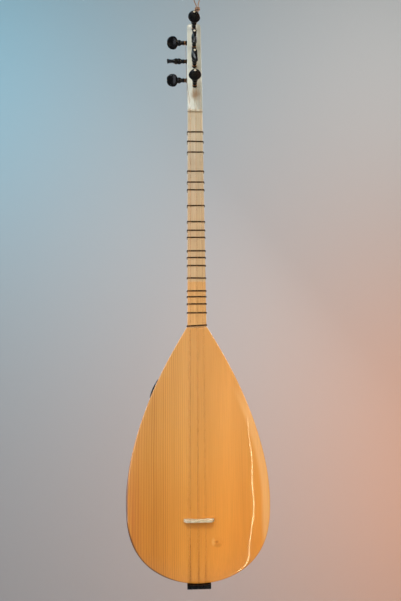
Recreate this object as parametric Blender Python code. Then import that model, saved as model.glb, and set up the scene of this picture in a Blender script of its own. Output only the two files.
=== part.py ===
"""A short-neck baglama: a long-necked lute with a bowl of thin staves, hung by a loop of cord.

Metres, +Z up. The front faces -Y, and +X is to the right of someone who looks at the front.
The pieces are placed in the neck's frame, where z = 0 is the nut's lower edge and y = 0 is the
face of the neck. That frame is then set so that the top of the hanging loop is at the origin.
"""

import math

import bmesh
import bpy
from mathutils import Matrix, Vector

# Gaps
CLEARANCE = 0.0003
WIRE_GAP_FLOOR = 0.0004

# Frets: places in semitones above the open string, as they are tied
FRET_SEMITONES = (
    0.98, 1.46, 2.01, 3.03, 3.64, 4.08, 5.01, 6.00, 6.55, 7.02,
    7.93, 8.40, 8.98, 9.91, 10.92, 11.40, 12.00, 12.77, 13.94,
)
FRET_SLOPES = {2: -0.025, 7: 0.012, 14: -0.010, 19: 0.045}
FRET_DIAMETER = 0.0009
FRET_PITCH = 0.0014
FRET_LOOPS = 2

# Neck: it ends a little below the last fret
SCALE_LENGTH = 0.730
NECK_BELOW_LAST_FRET = 0.0028
NECK_LENGTH = SCALE_LENGTH * (1 - 2 ** (-FRET_SEMITONES[-1] / 12)) + NECK_BELOW_LAST_FRET
NECK_WIDTH_AT_NUT = 0.028
NECK_WIDTH_AT_BODY = 0.034
NECK_DEPTH_AT_NUT = 0.021
NECK_DEPTH_AT_BODY = 0.027
NECK_FLANK = 0.006
NECK_EDGE = 0.0012
NECK_STEPS = 4

# Head
HEAD_LENGTH = 0.2095
HEAD_LEAN = math.radians(9)
HEAD_WIDTH_AT_NUT = 0.0285
HEAD_WIDTH_AT_TIP = 0.0272
HEAD_THICKNESS = 0.022
HEAD_FLANK = 0.016
HEAD_SQUARE_FROM = 0.026
TIP_ROUNDING = 0.011
ROUND_BACK = 2.0
SQUARE_BACK = 7.0

# Body
BODY_LENGTH = 0.4255
BODY_WIDTH = 0.2445
BOWL_DEPTH = 0.142
WIDEST_STATION = 0.288
THROAT_WIDTH = 0.036
THROAT_DEPTH = 0.024
SHOULDER_CURVE = 1.74
BACK_CURVE = 1.8
TAIL_CURVE = 2.85
SHOULDER_STEPS = 9
TAIL_STEPS = 9

# Soundboard
SOUNDBOARD_THICKNESS = 0.0035
EDGE_DROP = 0.0045
EDGE_ROLL = 2.5
BOARD_COLUMNS = (-1.0, -0.9, -0.75, -0.5, 0.0, 0.5, 0.75, 0.9, 1.0)
BOARD_END_ANGLE = math.radians(88.5)

# Bowl
STAVE_COUNT = 13
STAVE_FACETS = 2
STAVE_THICKNESS = 0.003
STAVE_START = 0.026
STAVE_END_ANGLE = math.radians(83)
NECK_BLOCK_LENGTH = 0.065
TAIL_BLOCK_ANGLE = math.radians(73)
TAIL_BLOCK_LENGTH = 0.018
BLOCK_ARC_STEPS = 8

# Sound hole in the left side
RING_STATION = 0.108
RING_SETBACK = 0.023
SOUND_HOLE_RADIUS = 0.0145
RING_RADIUS = 0.0215
RING_HEIGHT = 0.0016
RING_BORE = 0.012
RING_SIDES = 24

# Nut and bridge
NUT_HEIGHT = 0.0024
NUT_THICKNESS = 0.004
BRIDGE_HEIGHT = 0.0090
BRIDGE_BASE_WIDTH = 0.051
BRIDGE_TOP_WIDTH = 0.0458
BRIDGE_BASE_THICKNESS = 0.0050
BRIDGE_TOP_THICKNESS = 0.0030
BRIDGE_ARCH_WIDTH = 0.024
BRIDGE_ARCH_RISE = 0.0015
BRIDGE_OFFSET = 0.0005
BRIDGE_TRAVEL = 0.0015

# String holder
HOLDER_WIDTH = 0.0393
HOLDER_DROP = 0.0062
HOLDER_FRONT = -0.0005
HOLDER_DEPTH = 0.025
HOLDER_EDGE = 0.0008
HOLDER_BORE_DEPTH = 0.004
HOLDER_BORE_SETBACK = 0.0035
HOLDER_BORE_SIDES = 8

# Pegs
PEG_FIRST_STATION = 0.0582
PEG_PITCH = 0.0230
PEG_SHAFT_RADIUS = 0.0034
PEG_TAIL_RADIUS = 0.0029
PEG_GROOVE_RADIUS = 0.0035
PEG_RING_RADIUS = 0.0044
PEG_RING_LENGTH = 0.0021
PEG_GROOVE_LENGTH = 0.0045
PEG_HANDLE_LENGTH = 0.031
PEG_HANDLE_WIDTH = 0.0236
PEG_HOLE_GAP = 0.00035
PEG_SIDES = 12
PEG_HOLE_SIDES = 12

# Strings
STRING_SPACING_AT_NUT = 0.0017
STRING_SPACING_AT_BRIDGE = 0.0020
STRING_SPACING_AT_HOLDER = 0.0016
WINDING_LOOPS = 3
WINDING_POINTS = 10
WINDING_PITCH = 0.0010
STRING_PASSING_GAP = 0.0006
STRING_EDGE_GAP = 0.0006
STRING_EDGE_SHARE = 0.35

# Hanging cord
CORD_DIAMETER = 0.0024
CORD_HOLE_STATION = 0.2030
CORD_HOLE_RADIUS = 0.0017
CORD_BEND_RADIUS = 0.0056
CORD_STEPS_PER_POINT = 2
KNOT_CENTRE = (0.0078, 0.0022, 0.2470)
KNOT_STRAND_SPACING = 0.0030
KNOT_STRAIGHT_REACH = 0.006
KNOT_LOOPS = 2
KNOT_POINTS = 14
KNOT_PITCH = 0.0029

# One course of strings: how many, and its centre at the nut, at the bridge and at the holder
COURSES = (
    (3, -0.0102, -0.0165, -0.0155),
    (2, 0.0015, -0.0010, -0.0008),
    (2, 0.0105, 0.0115, 0.0108),
)

# One string, from the left: its peg, its diameter and the side of the peg that it leaves from
STRINGS = (
    ("side_peg_1", 0.0002, 0),
    ("side_peg_2", 0.0002, 0),
    ("side_peg_3", 0.0005, 0),
    ("front_peg_1", 0.0003, -1),
    ("front_peg_2", 0.0003, 1),
    ("front_peg_3", 0.0002, 1),
    ("front_peg_4", 0.0002, 1),
)

# One peg: its place in the row of seven, and how far its handle is turned
PEGS = {
    "front_peg_1": (0, math.radians(3)),
    "side_peg_1": (1, math.radians(-24)),
    "front_peg_2": (2, math.radians(115)),
    "side_peg_2": (3, math.radians(46)),
    "front_peg_3": (4, math.radians(100)),
    "side_peg_3": (5, math.radians(-47)),
    "front_peg_4": (6, math.radians(-8)),
}

# The cord's route in the head's frame: up from its front bend, round the loop, down to its back bend
CORD_UP = (
    (0.0001, -0.0058, 0.2116), (0.0009, -0.0055, 0.2165),
    (0.0028, -0.0040, 0.2250), (0.0052, -0.0016, 0.2340),
)
CORD_TO_LOOP = ((0.0050, 0.0018, 0.2590), (0.0026, 0.0012, 0.2640), (0.0009, 0.0004, 0.2690))
LOOP_CENTRE = (0.0065, -0.0004, 0.2735)
LOOP_RADIUS = 0.0059
CORD_FROM_LOOP = ((0.0121, 0.0004, 0.2690), (0.0110, 0.0012, 0.2640), (0.0098, 0.0018, 0.2590))
CORD_DOWN = (
    (0.0090, 0.0056, 0.2340), (0.0072, 0.0122, 0.2268), (0.0040, 0.0194, 0.2208),
    (0.0014, 0.0246, 0.2164), (0.0002, 0.0272, 0.2118),
)


def clear_scene():
    for obj in list(bpy.data.objects):
        bpy.data.objects.remove(obj, do_unlink=True)


def material(name, colour, roughness, metallic=0.0):
    """A plain Principled material in that colour."""
    made = bpy.data.materials.new(name)
    made.use_nodes = True
    shader = made.node_tree.nodes["Principled BSDF"]
    shader.inputs["Base Color"].default_value = (*colour, 1.0)
    shader.inputs["Roughness"].default_value = roughness
    shader.inputs["Metallic"].default_value = metallic
    made.diffuse_color = (*colour, 1.0)
    return made


def frame_empty(name, location, rotation, parent):
    """An empty whose axes carry the pieces that are parented to it."""
    empty = bpy.data.objects.new(name, None)
    empty.location = location
    empty.rotation_euler = rotation
    empty.parent = parent
    bpy.context.scene.collection.objects.link(empty)
    return empty


def place(name, data, finish, parent, location=(0, 0, 0), rotation=(0, 0, 0)):
    """Puts a mesh or a curve into the scene as one piece."""
    obj = bpy.data.objects.new(name, data)
    data.materials.append(finish)
    obj.parent = parent
    obj.location = location
    obj.rotation_euler = rotation
    bpy.context.scene.collection.objects.link(obj)
    return obj


def mesh_from(name, points, faces):
    """A closed mesh with its faces turned outwards, smooth but for its sharp edges."""
    mesh = bpy.data.meshes.new(name)
    mesh.from_pydata([tuple(point) for point in points], [], faces)
    shape = bmesh.new()
    shape.from_mesh(mesh)
    bmesh.ops.recalc_face_normals(shape, faces=shape.faces)
    shape.to_mesh(mesh)
    shape.free()
    mesh.shade_smooth()
    mesh.set_sharp_from_angle(angle=math.radians(35))
    return mesh


def loft(name, sections):
    """A solid through closed sections that all have the same number of points."""
    count = len(sections[0])
    points = [point for section in sections for point in section]
    faces = [tuple(range(count)), tuple(range(len(points) - count, len(points)))]
    for row in range(len(sections) - 1):
        for i in range(count):
            near, far = row * count, (row + 1) * count
            after = (i + 1) % count
            faces.append((near + i, near + after, far + after, far + i))
    return mesh_from(name, points, faces)


def slab(name, outer, inner):
    """A curved plate between two grids of points, each a list of rows."""
    rows, columns = len(outer), len(outer[0])
    points = [point for row in outer for point in row] + [point for row in inner for point in row]
    below = rows * columns
    faces = []
    for i in range(rows - 1):
        for j in range(columns - 1):
            a, b = i * columns + j, (i + 1) * columns + j
            faces.append((a, b, b + 1, a + 1))
            faces.append((below + a, below + a + 1, below + b + 1, below + b))
    for i in range(rows - 1):
        for j in (0, columns - 1):
            a, b = i * columns + j, (i + 1) * columns + j
            faces.append((a, b, below + b, below + a))
    for j in range(columns - 1):
        for i in (0, rows - 1):
            a = i * columns + j
            faces.append((a, a + 1, below + a + 1, below + a))
    return mesh_from(name, points, faces)


def ring_of(radius, height, sides):
    """Points of a regular ring round the Z axis."""
    turn = 2 * math.pi / sides
    return [
        Vector((radius * math.cos(turn * k), radius * math.sin(turn * k), height))
        for k in range(sides)
    ]


def turned_ring(name, profile, sides):
    """A closed profile of (radius, height) points turned round the Z axis."""
    points = [point for radius, height in profile for point in ring_of(radius, height, sides)]
    faces = []
    for row in range(len(profile)):
        near, far = row * sides, (row + 1) % len(profile) * sides
        for k in range(sides):
            after = (k + 1) % sides
            faces.append((near + k, near + after, far + after, far + k))
    return mesh_from(name, points, faces)


def prism_between(start, end, radius, sides):
    """The points and faces of a straight prism from start to end, for a hole's cutter."""
    turn = (end - start).to_track_quat("Z", "Y")
    length = (end - start).length
    points = [start + turn @ point for point in ring_of(radius, 0, sides)]
    points += [start + turn @ point for point in ring_of(radius, length, sides)]
    faces = [tuple(range(sides)), tuple(range(sides, 2 * sides))]
    for k in range(sides):
        after = (k + 1) % sides
        faces.append((k, after, sides + after, sides + k))
    return points, faces


def cutter_of(name, prisms, parent):
    """One hidden cutter made of several prisms that don't meet."""
    points, faces = [], []
    for prism_points, prism_faces in prisms:
        start = len(points)
        points += prism_points
        faces += [tuple(start + i for i in face) for face in prism_faces]
    return hidden(name, mesh_from(name, points, faces), parent)


def hidden(name, mesh, parent):
    """A helper that cuts or joins and isn't a piece itself."""
    obj = bpy.data.objects.new(name, mesh)
    obj.parent = parent
    obj.hide_render = True
    obj.display_type = "WIRE"
    bpy.context.scene.collection.objects.link(obj)
    return obj


def boolean(obj, other, operation):
    step = obj.modifiers.new(other.name, "BOOLEAN")
    step.operation = operation
    step.object = other


def tube(name, points, diameter, resolution):
    """A round tube of straight runs through points, with closed ends."""
    curve = bpy.data.curves.new(name, "CURVE")
    curve.dimensions = "3D"
    curve.bevel_depth = diameter / 2
    curve.bevel_resolution = resolution
    curve.use_fill_caps = True
    spline = curve.splines.new("POLY")
    spline.points.add(len(points) - 1)
    for spot, point in zip(spline.points, points):
        spot.co = (*point, 1.0)
    return curve


def distance_to_run(point, start, end):
    """How far a point is from the straight run between start and end."""
    along = end - start
    share = max(0.0, min(1.0, (point - start).dot(along) / along.length_squared))
    return (point - start - along * share).length


def report_gap(name, points, diameter, loop_points):
    """Prints the least gap between a wound tube and its own next turns."""
    least = math.inf
    for i, point in enumerate(points):
        for j in range(len(points) - 1):
            if min(abs(i - j), abs(i - j - 1)) > loop_points // 2:
                least = min(least, distance_to_run(point, points[j], points[j + 1]))
    gap = least - diameter
    verdict = "over" if gap > WIRE_GAP_FLOOR else "UNDER"
    print(f"{name}: least gap to itself {gap * 1000:.2f} mm, {verdict} {WIRE_GAP_FLOOR * 1000:.1f} mm")


def smooth_route(points, steps):
    """Points on a smooth curve that is drawn towards every given point, as a limp cord lies."""
    ends = [2 * points[0] - points[1], *points, 2 * points[-1] - points[-2]]
    route = []
    for before, start, end, after in zip(ends, ends[1:], ends[2:], ends[3:]):
        for k in range(steps):
            t = k / steps
            pull_start = 3 * t**3 - 6 * t**2 + 4
            pull_end = 1 + 3 * t + 3 * t**2 - 3 * t**3
            blend = before * (1 - t) ** 3 + start * pull_start + end * pull_end + after * t**3
            route.append(blend / 6)
    return [*route, points[-1]]


def between(start, end, share):
    return start + (end - start) * share


# The neck's and the head's sections


def d_section(width, depth, flank, exponent, grow=0.0):
    """A flat-fronted outline with a rounded back, as (x, y) pairs, grown outwards by grow."""
    half = width / 2
    corner = NECK_EDGE - grow * math.tan(math.pi / 8)
    outline = [(-half + corner, -grow), (half - corner, -grow)]
    outline += [(half + grow, corner), (half + grow, flank)]
    for step in range(1, 6):
        angle = math.pi * step / 6
        across = math.copysign(abs(math.cos(angle)) ** (2 / exponent), math.cos(angle))
        back = math.sin(angle) ** (2 / exponent)
        outline.append(((half + grow) * across, flank + (depth - flank + grow) * back))
    outline += [(-half - grow, flank), (-half - grow, corner)]
    return outline


def neck_width(z):
    return between(NECK_WIDTH_AT_NUT, NECK_WIDTH_AT_BODY, -z / NECK_LENGTH)


def neck_depth(z):
    return between(NECK_DEPTH_AT_NUT, NECK_DEPTH_AT_BODY, -z / NECK_LENGTH)


def neck_section(z, grow=0.0):
    outline = d_section(neck_width(z), neck_depth(z), NECK_FLANK, ROUND_BACK, grow)
    return [Vector((x, y, z)) for x, y in outline]


def head_half_width(height):
    return between(HEAD_WIDTH_AT_NUT, HEAD_WIDTH_AT_TIP, height / HEAD_LENGTH) / 2


# The body's surface, at a distance d below the neck


def tail_share(d):
    return (d - WIDEST_STATION) / (BODY_LENGTH - WIDEST_STATION)


def half_width(d):
    """Half of the soundboard's width."""
    if d <= WIDEST_STATION:
        share = (WIDEST_STATION - d) / WIDEST_STATION
        return (BODY_WIDTH - (BODY_WIDTH - THROAT_WIDTH) * share**SHOULDER_CURVE) / 2
    return BODY_WIDTH / 2 * math.sqrt(1 - tail_share(d) ** TAIL_CURVE)


def bowl_depth(d):
    """How far the bowl reaches behind its rim."""
    if d <= WIDEST_STATION:
        share = (WIDEST_STATION - d) / WIDEST_STATION
        return BOWL_DEPTH - (BOWL_DEPTH - THROAT_DEPTH) * share**BACK_CURVE
    return BOWL_DEPTH * math.sqrt(1 - tail_share(d) ** TAIL_CURVE)


def tail_station(angle):
    """The distance at which the outline has turned by angle from the widest place."""
    share = math.sin(angle) ** (2 / TAIL_CURVE)
    return WIDEST_STATION + (BODY_LENGTH - WIDEST_STATION) * share


def board_face(x, d):
    """How far the soundboard's arched face lies behind the neck's face."""
    if d <= WIDEST_STATION:
        edge = (x / half_width(d)) ** 2
        fall = EDGE_DROP * (2 * half_width(d) / BODY_WIDTH) ** 2
    else:
        edge = (2 * x / BODY_WIDTH) ** 2 + tail_share(d) ** TAIL_CURVE
        fall = EDGE_DROP
    return fall * edge**EDGE_ROLL


def board_back(x, d):
    return board_face(x, d) + SOUNDBOARD_THICKNESS


def rim(d):
    return board_back(half_width(d), d) + CLEARANCE


def bowl_point(d, angle):
    """A point of the bowl's outside: angle 0 is the left rim, and half a turn the right rim."""
    across = -half_width(d) * math.cos(angle)
    back = rim(d) + bowl_depth(d) * math.sin(angle)
    return Vector((across, back, -NECK_LENGTH - d))


def bowl_normal(d, angle):
    step = 1e-5
    across = bowl_point(d, angle + step) - bowl_point(d, angle - step)
    along = bowl_point(d + step, angle) - bowl_point(d - step, angle)
    return across.cross(along).normalized()


def bowl_inset(d, angle, inset):
    """The bowl's surface moved inwards by inset, or outwards if it is negative."""
    return bowl_point(d, angle) - bowl_normal(d, angle) * inset


def bowl_pace(d, angle):
    """How far a point of the bowl moves for each radian of its angle."""
    return math.hypot(half_width(d) * math.sin(angle), bowl_depth(d) * math.cos(angle))


def stave_stations():
    shoulder = [
        between(STAVE_START, WIDEST_STATION, k / SHOULDER_STEPS) for k in range(SHOULDER_STEPS)
    ]
    tail = [tail_station(STAVE_END_ANGLE * k / TAIL_STEPS) for k in range(TAIL_STEPS + 1)]
    return shoulder + tail


def make_soundboard(frame, finish):
    """The arched board that closes the bowl."""
    stations = [CLEARANCE, STAVE_START / 2, *stave_stations(), tail_station(BOARD_END_ANGLE)]
    face, back = [], []
    for d in stations:
        columns = [share * half_width(d) for share in BOARD_COLUMNS]
        face.append([Vector((x, board_face(x, d), -NECK_LENGTH - d)) for x in columns])
        back.append([Vector((x, board_back(x, d), -NECK_LENGTH - d)) for x in columns])
    return place("soundboard", slab("soundboard", face, back), finish, frame)


def make_stave(number, frame, finish):
    """One bent strip of the bowl, tapered to both ends."""
    turn = math.pi / STAVE_COUNT
    first, last = (number - 1) * turn, number * turn
    outer, inner = [], []
    for d in stave_stations():
        left = first if number == 1 else first + CLEARANCE / 2 / bowl_pace(d, first)
        right = last if number == STAVE_COUNT else last - CLEARANCE / 2 / bowl_pace(d, last)
        angles = [between(left, right, k / STAVE_FACETS) for k in range(STAVE_FACETS + 1)]
        outer.append([bowl_point(d, angle) for angle in angles])
        inner.append([bowl_inset(d, angle, STAVE_THICKNESS) for angle in angles])
    name = f"stave_{number:02d}"
    return place(name, slab(name, outer, inner), finish, frame)


def block_section(d, inset, lift=0.0):
    """A block's section: the bowl's curve moved inwards, closed along the soundboard's back."""
    arc = [
        bowl_inset(d, math.pi * k / BLOCK_ARC_STEPS, inset) for k in range(BLOCK_ARC_STEPS + 1)
    ]
    arc = [point + Vector((0, 0, lift)) for point in arc]
    for end in (0, -1):
        below_neck = -NECK_LENGTH - arc[end].z
        arc[end].y = board_back(arc[end].x, below_neck) + CLEARANCE
    below_neck = -NECK_LENGTH - arc[0].z
    middle = Vector((0, board_back(0, below_neck) + CLEARANCE, arc[0].z))
    return [*arc, middle]


def make_neck_block(frame, finish):
    """The block under the neck's end, rebated so that the staves lie on it."""
    shoulder = STAVE_START - CLEARANCE
    inset = STAVE_THICKNESS + CLEARANCE
    sections = [
        block_section(CLEARANCE, 0),
        block_section(shoulder, 0),
        block_section(shoulder, inset),
        block_section(NECK_BLOCK_LENGTH, inset),
    ]
    return place("neck_block", loft("neck_block", sections), finish, frame)


def make_tail_block(frame, finish):
    """The block inside the tail, which the staves' ends and the string holder are fixed to."""
    inset = STAVE_THICKNESS + CLEARANCE
    sections = [
        block_section(tail_station(TAIL_BLOCK_ANGLE), inset, TAIL_BLOCK_LENGTH),
        block_section(tail_station(TAIL_BLOCK_ANGLE), inset),
        block_section(tail_station(STAVE_END_ANGLE), inset),
    ]
    return place("tail_block", loft("tail_block", sections), finish, frame)


def make_body_envelope(frame):
    """The whole body grown by the clearance, to cut what sits on its outside."""
    reach = -0.03
    count = STAVE_COUNT * STAVE_FACETS
    sections = []
    for d in [*stave_stations(), tail_station(BOARD_END_ANGLE)]:
        arc = [bowl_inset(d, math.pi * k / count, -CLEARANCE) for k in range(count + 1)]
        left = Vector((arc[0].x, reach, arc[0].z))
        right = Vector((arc[-1].x, reach, arc[-1].z))
        sections.append([left, *arc, right])
    return hidden("body_envelope", loft("body_envelope", sections), frame)


def make_sound_hole(frame, staves, envelope, finish):
    """The hole in the left side and the raised ring whose sleeve sits in it."""
    angle = math.asin(RING_SETBACK / bowl_depth(RING_STATION))
    centre = bowl_point(RING_STATION, angle)
    normal = bowl_normal(RING_STATION, angle)
    reach = 4 * STAVE_THICKNESS
    bore = prism_between(
        centre - normal * reach, centre + normal * reach, SOUND_HOLE_RADIUS, RING_SIDES
    )
    hole = cutter_of("sound_hole_cutter", [bore], frame)
    spread = 1.3 * SOUND_HOLE_RADIUS / bowl_pace(RING_STATION, angle)
    turn = math.pi / STAVE_COUNT
    for number, stave in enumerate(staves):
        if number * turn < angle + spread and (number + 1) * turn > angle - spread:
            boolean(stave, hole, "DIFFERENCE")

    foot = -2 * STAVE_THICKNESS
    flange = (
        (RING_BORE, foot),
        (RING_BORE, RING_HEIGHT * 0.6),
        (RING_BORE + 0.001, RING_HEIGHT),
        (RING_RADIUS - 0.003, RING_HEIGHT),
        (RING_RADIUS - 0.0008, RING_HEIGHT * 0.6),
        (RING_RADIUS, 0.0),
        (RING_RADIUS, foot),
    )
    sleeve_radius = SOUND_HOLE_RADIUS - CLEARANCE
    sleeve_bore = RING_BORE + 0.0005
    sleeve_top = RING_HEIGHT * 0.4
    sleeve = (
        (sleeve_bore, foot),
        (sleeve_bore, sleeve_top),
        (sleeve_radius, sleeve_top),
        (sleeve_radius, foot),
    )
    facing = normal.to_track_quat("Z", "Y").to_euler()
    ring = place(
        "sound_hole_ring", turned_ring("sound_hole_ring", flange, RING_SIDES), finish, frame,
        centre, facing,
    )
    liner = hidden("ring_sleeve", turned_ring("ring_sleeve", sleeve, RING_SIDES), frame)
    liner.location = centre
    liner.rotation_euler = facing
    boolean(ring, envelope, "DIFFERENCE")
    boolean(ring, liner, "UNION")
    return ring


def make_neck(frame, finish):
    heights = [NUT_THICKNESS + CLEARANCE]
    heights += [-NECK_LENGTH * step / NECK_STEPS for step in range(NECK_STEPS + 1)]
    return place("neck", loft("neck", [neck_section(z) for z in heights]), finish, frame)


def head_section(height, width, front, back, flank, exponent):
    """One section of the head, square to it, between a front and a back distance."""
    outline = d_section(width, back - front, flank, exponent)
    return [Vector((x, front + y, height)) for x, y in outline]


def make_head(frame, finish):
    """The leaning head: its foot matches the neck, its tip is rounded."""
    outline = d_section(neck_width(0), neck_depth(0), NECK_FLANK, ROUND_BACK)
    foot = [Vector((x, y, y * math.tan(HEAD_LEAN))) for x, y in outline]
    sections = [foot]
    for height in (HEAD_SQUARE_FROM, HEAD_LENGTH / 2, HEAD_LENGTH - TIP_ROUNDING):
        width = 2 * head_half_width(height)
        sections.append(head_section(height, width, 0, HEAD_THICKNESS, HEAD_FLANK, SQUARE_BACK))
    for turned in (35, 60, 80):
        rise = math.sin(math.radians(turned))
        narrow = math.cos(math.radians(turned))
        height = HEAD_LENGTH - TIP_ROUNDING * (1 - rise)
        width = 2 * (head_half_width(height) - TIP_ROUNDING * (1 - narrow))
        inward = 0.35 * TIP_ROUNDING * (1 - narrow)
        back = HEAD_THICKNESS - inward
        flank = HEAD_FLANK - 2 * inward
        sections.append(head_section(height, width, inward, back, flank, SQUARE_BACK))
    return place("head", loft("head", sections), finish, frame)


# Pegs


def peg_station(name):
    """The peg's height in the head's frame."""
    return PEG_FIRST_STATION + PEG_PITCH * PEGS[name][0] - (NUT_THICKNESS + 2 * CLEARANCE)


def peg_is_front(name):
    return name.startswith("front")


def peg_seat(name):
    """Where the peg's axis leaves the head, in the head's frame."""
    height = peg_station(name)
    if peg_is_front(name):
        return Vector((0, 0, height))
    return Vector((-head_half_width(height), HEAD_THICKNESS / 2, height))


def peg_outward(name):
    return Vector((0, -1, 0)) if peg_is_front(name) else Vector((-1, 0, 0))


def peg_bore_length(name):
    return HEAD_THICKNESS if peg_is_front(name) else 2 * head_half_width(peg_station(name))


def groove_start():
    return CLEARANCE + PEG_RING_LENGTH


def peg_sections(name):
    """Ovals along the peg as (height, half width, half thickness), from its tail to its tip."""
    step = 0.0002
    groove = groove_start()
    collar = groove + PEG_GROOVE_LENGTH
    cove = collar + PEG_RING_LENGTH
    handle = [
        (0.00, 0.145, 0.145), (0.06, 0.145, 0.145), (0.14, 0.20, 0.20), (0.22, 0.235, 0.235),
        (0.27, 0.225, 0.225), (0.31, 0.205, 0.20), (0.365, 0.31, 0.22), (0.43, 0.405, 0.235),
        (0.50, 0.475, 0.195), (0.60, 0.505, 0.15), (0.71, 0.49, 0.138), (0.81, 0.44, 0.145),
        (0.90, 0.33, 0.165), (0.955, 0.265, 0.18), (1.00, 0.20, 0.15),
    ]
    sections = [
        (-peg_bore_length(name) + 2 * CLEARANCE, PEG_TAIL_RADIUS, PEG_TAIL_RADIUS),
        (CLEARANCE, PEG_SHAFT_RADIUS, PEG_SHAFT_RADIUS),
        (CLEARANCE + step, PEG_RING_RADIUS, PEG_RING_RADIUS),
        (groove - step, PEG_RING_RADIUS, PEG_RING_RADIUS),
        (groove, PEG_GROOVE_RADIUS, PEG_GROOVE_RADIUS),
        (collar, PEG_GROOVE_RADIUS, PEG_GROOVE_RADIUS),
        (collar + step, PEG_RING_RADIUS, PEG_RING_RADIUS),
        (cove - step, PEG_RING_RADIUS, PEG_RING_RADIUS),
    ]
    for share, across, thick in handle:
        height = cove + PEG_HANDLE_LENGTH * share
        sections.append((height, PEG_HANDLE_WIDTH * across, PEG_HANDLE_WIDTH * thick))
    return sections


def make_peg(name, frame, finish):
    """One turned peg with a flat handle, standing along its own Z axis."""
    turn = 2 * math.pi / PEG_SIDES
    sections = [
        [
            Vector((half * math.cos(turn * k), thick * math.sin(turn * k), height))
            for k in range(PEG_SIDES)
        ]
        for height, half, thick in peg_sections(name)
    ]
    if peg_is_front(name):
        tilt = Matrix.Rotation(math.radians(90), 3, "X")
    else:
        tilt = Matrix.Rotation(math.radians(-90), 3, "Y")
    facing = (tilt @ Matrix.Rotation(PEGS[name][1], 3, "Z")).to_euler()
    return place(name, loft(name, sections), finish, frame, peg_seat(name), facing)


def bore_head(head, frame):
    """The seven peg holes and the cord's hole, all right through the head."""
    margin = 0.004
    radius = (PEG_SHAFT_RADIUS + PEG_HOLE_GAP) / math.cos(math.pi / PEG_HOLE_SIDES)
    prisms = []
    for name in PEGS:
        outward = peg_outward(name)
        start = peg_seat(name) + outward * margin
        end = peg_seat(name) - outward * (peg_bore_length(name) + margin)
        prisms.append(prism_between(start, end, radius, PEG_HOLE_SIDES))
    start = Vector((0, -margin, CORD_HOLE_STATION))
    end = Vector((0, HEAD_THICKNESS + margin, CORD_HOLE_STATION))
    prisms.append(prism_between(start, end, CORD_HOLE_RADIUS, PEG_HOLE_SIDES))
    boolean(head, cutter_of("head_holes", prisms, frame), "DIFFERENCE")


# Nut, bridge and string holder


def string_places(which, spacing):
    """Every string's x at the nut (1), the bridge (2) or the holder (3), from the left."""
    places = []
    for course in COURSES:
        count, centre = course[0], course[which]
        places += [centre + spacing * (k - (count - 1) / 2) for k in range(count)]
    return places


def notched_top(places, top):
    """Points along a top edge with a notch under each string, from the left."""
    points = []
    for x, (_, diameter, _) in zip(places, STRINGS):
        half = diameter / 2 + 1.5 * CLEARANCE
        depth = diameter / 2 + CLEARANCE
        points += [
            (x - half, top),
            (x - 0.4 * half, top + depth),
            (x + 0.4 * half, top + depth),
            (x + half, top),
        ]
    return points


def make_nut(frame, finish):
    half = NECK_WIDTH_AT_NUT / 2
    top = -NUT_HEIGHT
    places = string_places(1, STRING_SPACING_AT_NUT)
    outline = [(-half, -CLEARANCE), (-half + 0.0004, top), *notched_top(places, top)]
    outline += [(half - 0.0004, top), (half, -CLEARANCE)]
    sections = [[Vector((x, y, z)) for x, y in outline] for z in (0, NUT_THICKNESS)]
    return place("nut", loft("nut", sections), finish, frame)


def make_bridge(frame, finish):
    """The loose bridge: a tapered blade on two feet, with a notch for each string."""
    foot, top = -CLEARANCE, -BRIDGE_HEIGHT
    base, crest, arch = BRIDGE_BASE_WIDTH / 2, BRIDGE_TOP_WIDTH / 2, BRIDGE_ARCH_WIDTH / 2
    places = [x - BRIDGE_OFFSET for x in string_places(2, STRING_SPACING_AT_BRIDGE)]
    outline = [(-base, foot), (-base + 0.0008, foot - 0.002), (-crest, top)]
    outline += notched_top(places, top)
    outline += [(crest, top), (base - 0.0008, foot - 0.002), (base, foot)]
    outline += [(arch, foot), (arch / 2, foot - BRIDGE_ARCH_RISE)]
    outline += [(-arch / 2, foot - BRIDGE_ARCH_RISE), (-arch, foot)]
    sections = []
    for side in (-1, 1):
        section = []
        for x, y in outline:
            share = (foot - y) / (foot - top)
            thickness = between(BRIDGE_BASE_THICKNESS, BRIDGE_TOP_THICKNESS, share)
            section.append(Vector((x, y, side * thickness / 2)))
        sections.append(section)
    seat = (BRIDGE_OFFSET, 0, -SCALE_LENGTH)
    return place("bridge", loft("bridge", sections), finish, frame, seat)


def holder_top():
    return -NECK_LENGTH - BODY_LENGTH - CLEARANCE


def holder_bore_y():
    return HOLDER_FRONT + HOLDER_BORE_SETBACK


def make_string_holder(frame, envelope, finish):
    """The block at the tail, fitted to the body's curve and bored for the strings' ends."""
    overlap = 0.004
    low = holder_top() + CLEARANCE - HOLDER_DROP
    size = Vector((HOLDER_WIDTH, HOLDER_DEPTH, holder_top() + overlap - low))
    centre = Vector((0, HOLDER_FRONT + HOLDER_DEPTH / 2, low + size.z / 2))
    mesh = bpy.data.meshes.new("string_holder")
    shape = bmesh.new()
    bmesh.ops.create_cube(shape, size=1.0, matrix=Matrix.Diagonal((*size, 1.0)))
    bmesh.ops.translate(shape, verts=shape.verts, vec=centre)
    bmesh.ops.bevel(
        shape, geom=shape.edges[:], offset=HOLDER_EDGE, segments=1, affect="EDGES"
    )
    shape.to_mesh(mesh)
    shape.free()
    holder = place("string_holder", mesh, finish, frame)
    boolean(holder, envelope, "DIFFERENCE")
    radius = max(diameter for _, diameter, _ in STRINGS) / 2 + CLEARANCE
    prisms = []
    for x in string_places(3, STRING_SPACING_AT_HOLDER):
        start = Vector((x, holder_bore_y(), holder_top() - HOLDER_BORE_DEPTH))
        end = Vector((x, holder_bore_y(), holder_top() + 2 * overlap))
        prisms.append(prism_between(start, end, radius, HOLDER_BORE_SIDES))
    boolean(holder, cutter_of("holder_bores", prisms, frame), "DIFFERENCE")
    return holder


# Strings


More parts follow.
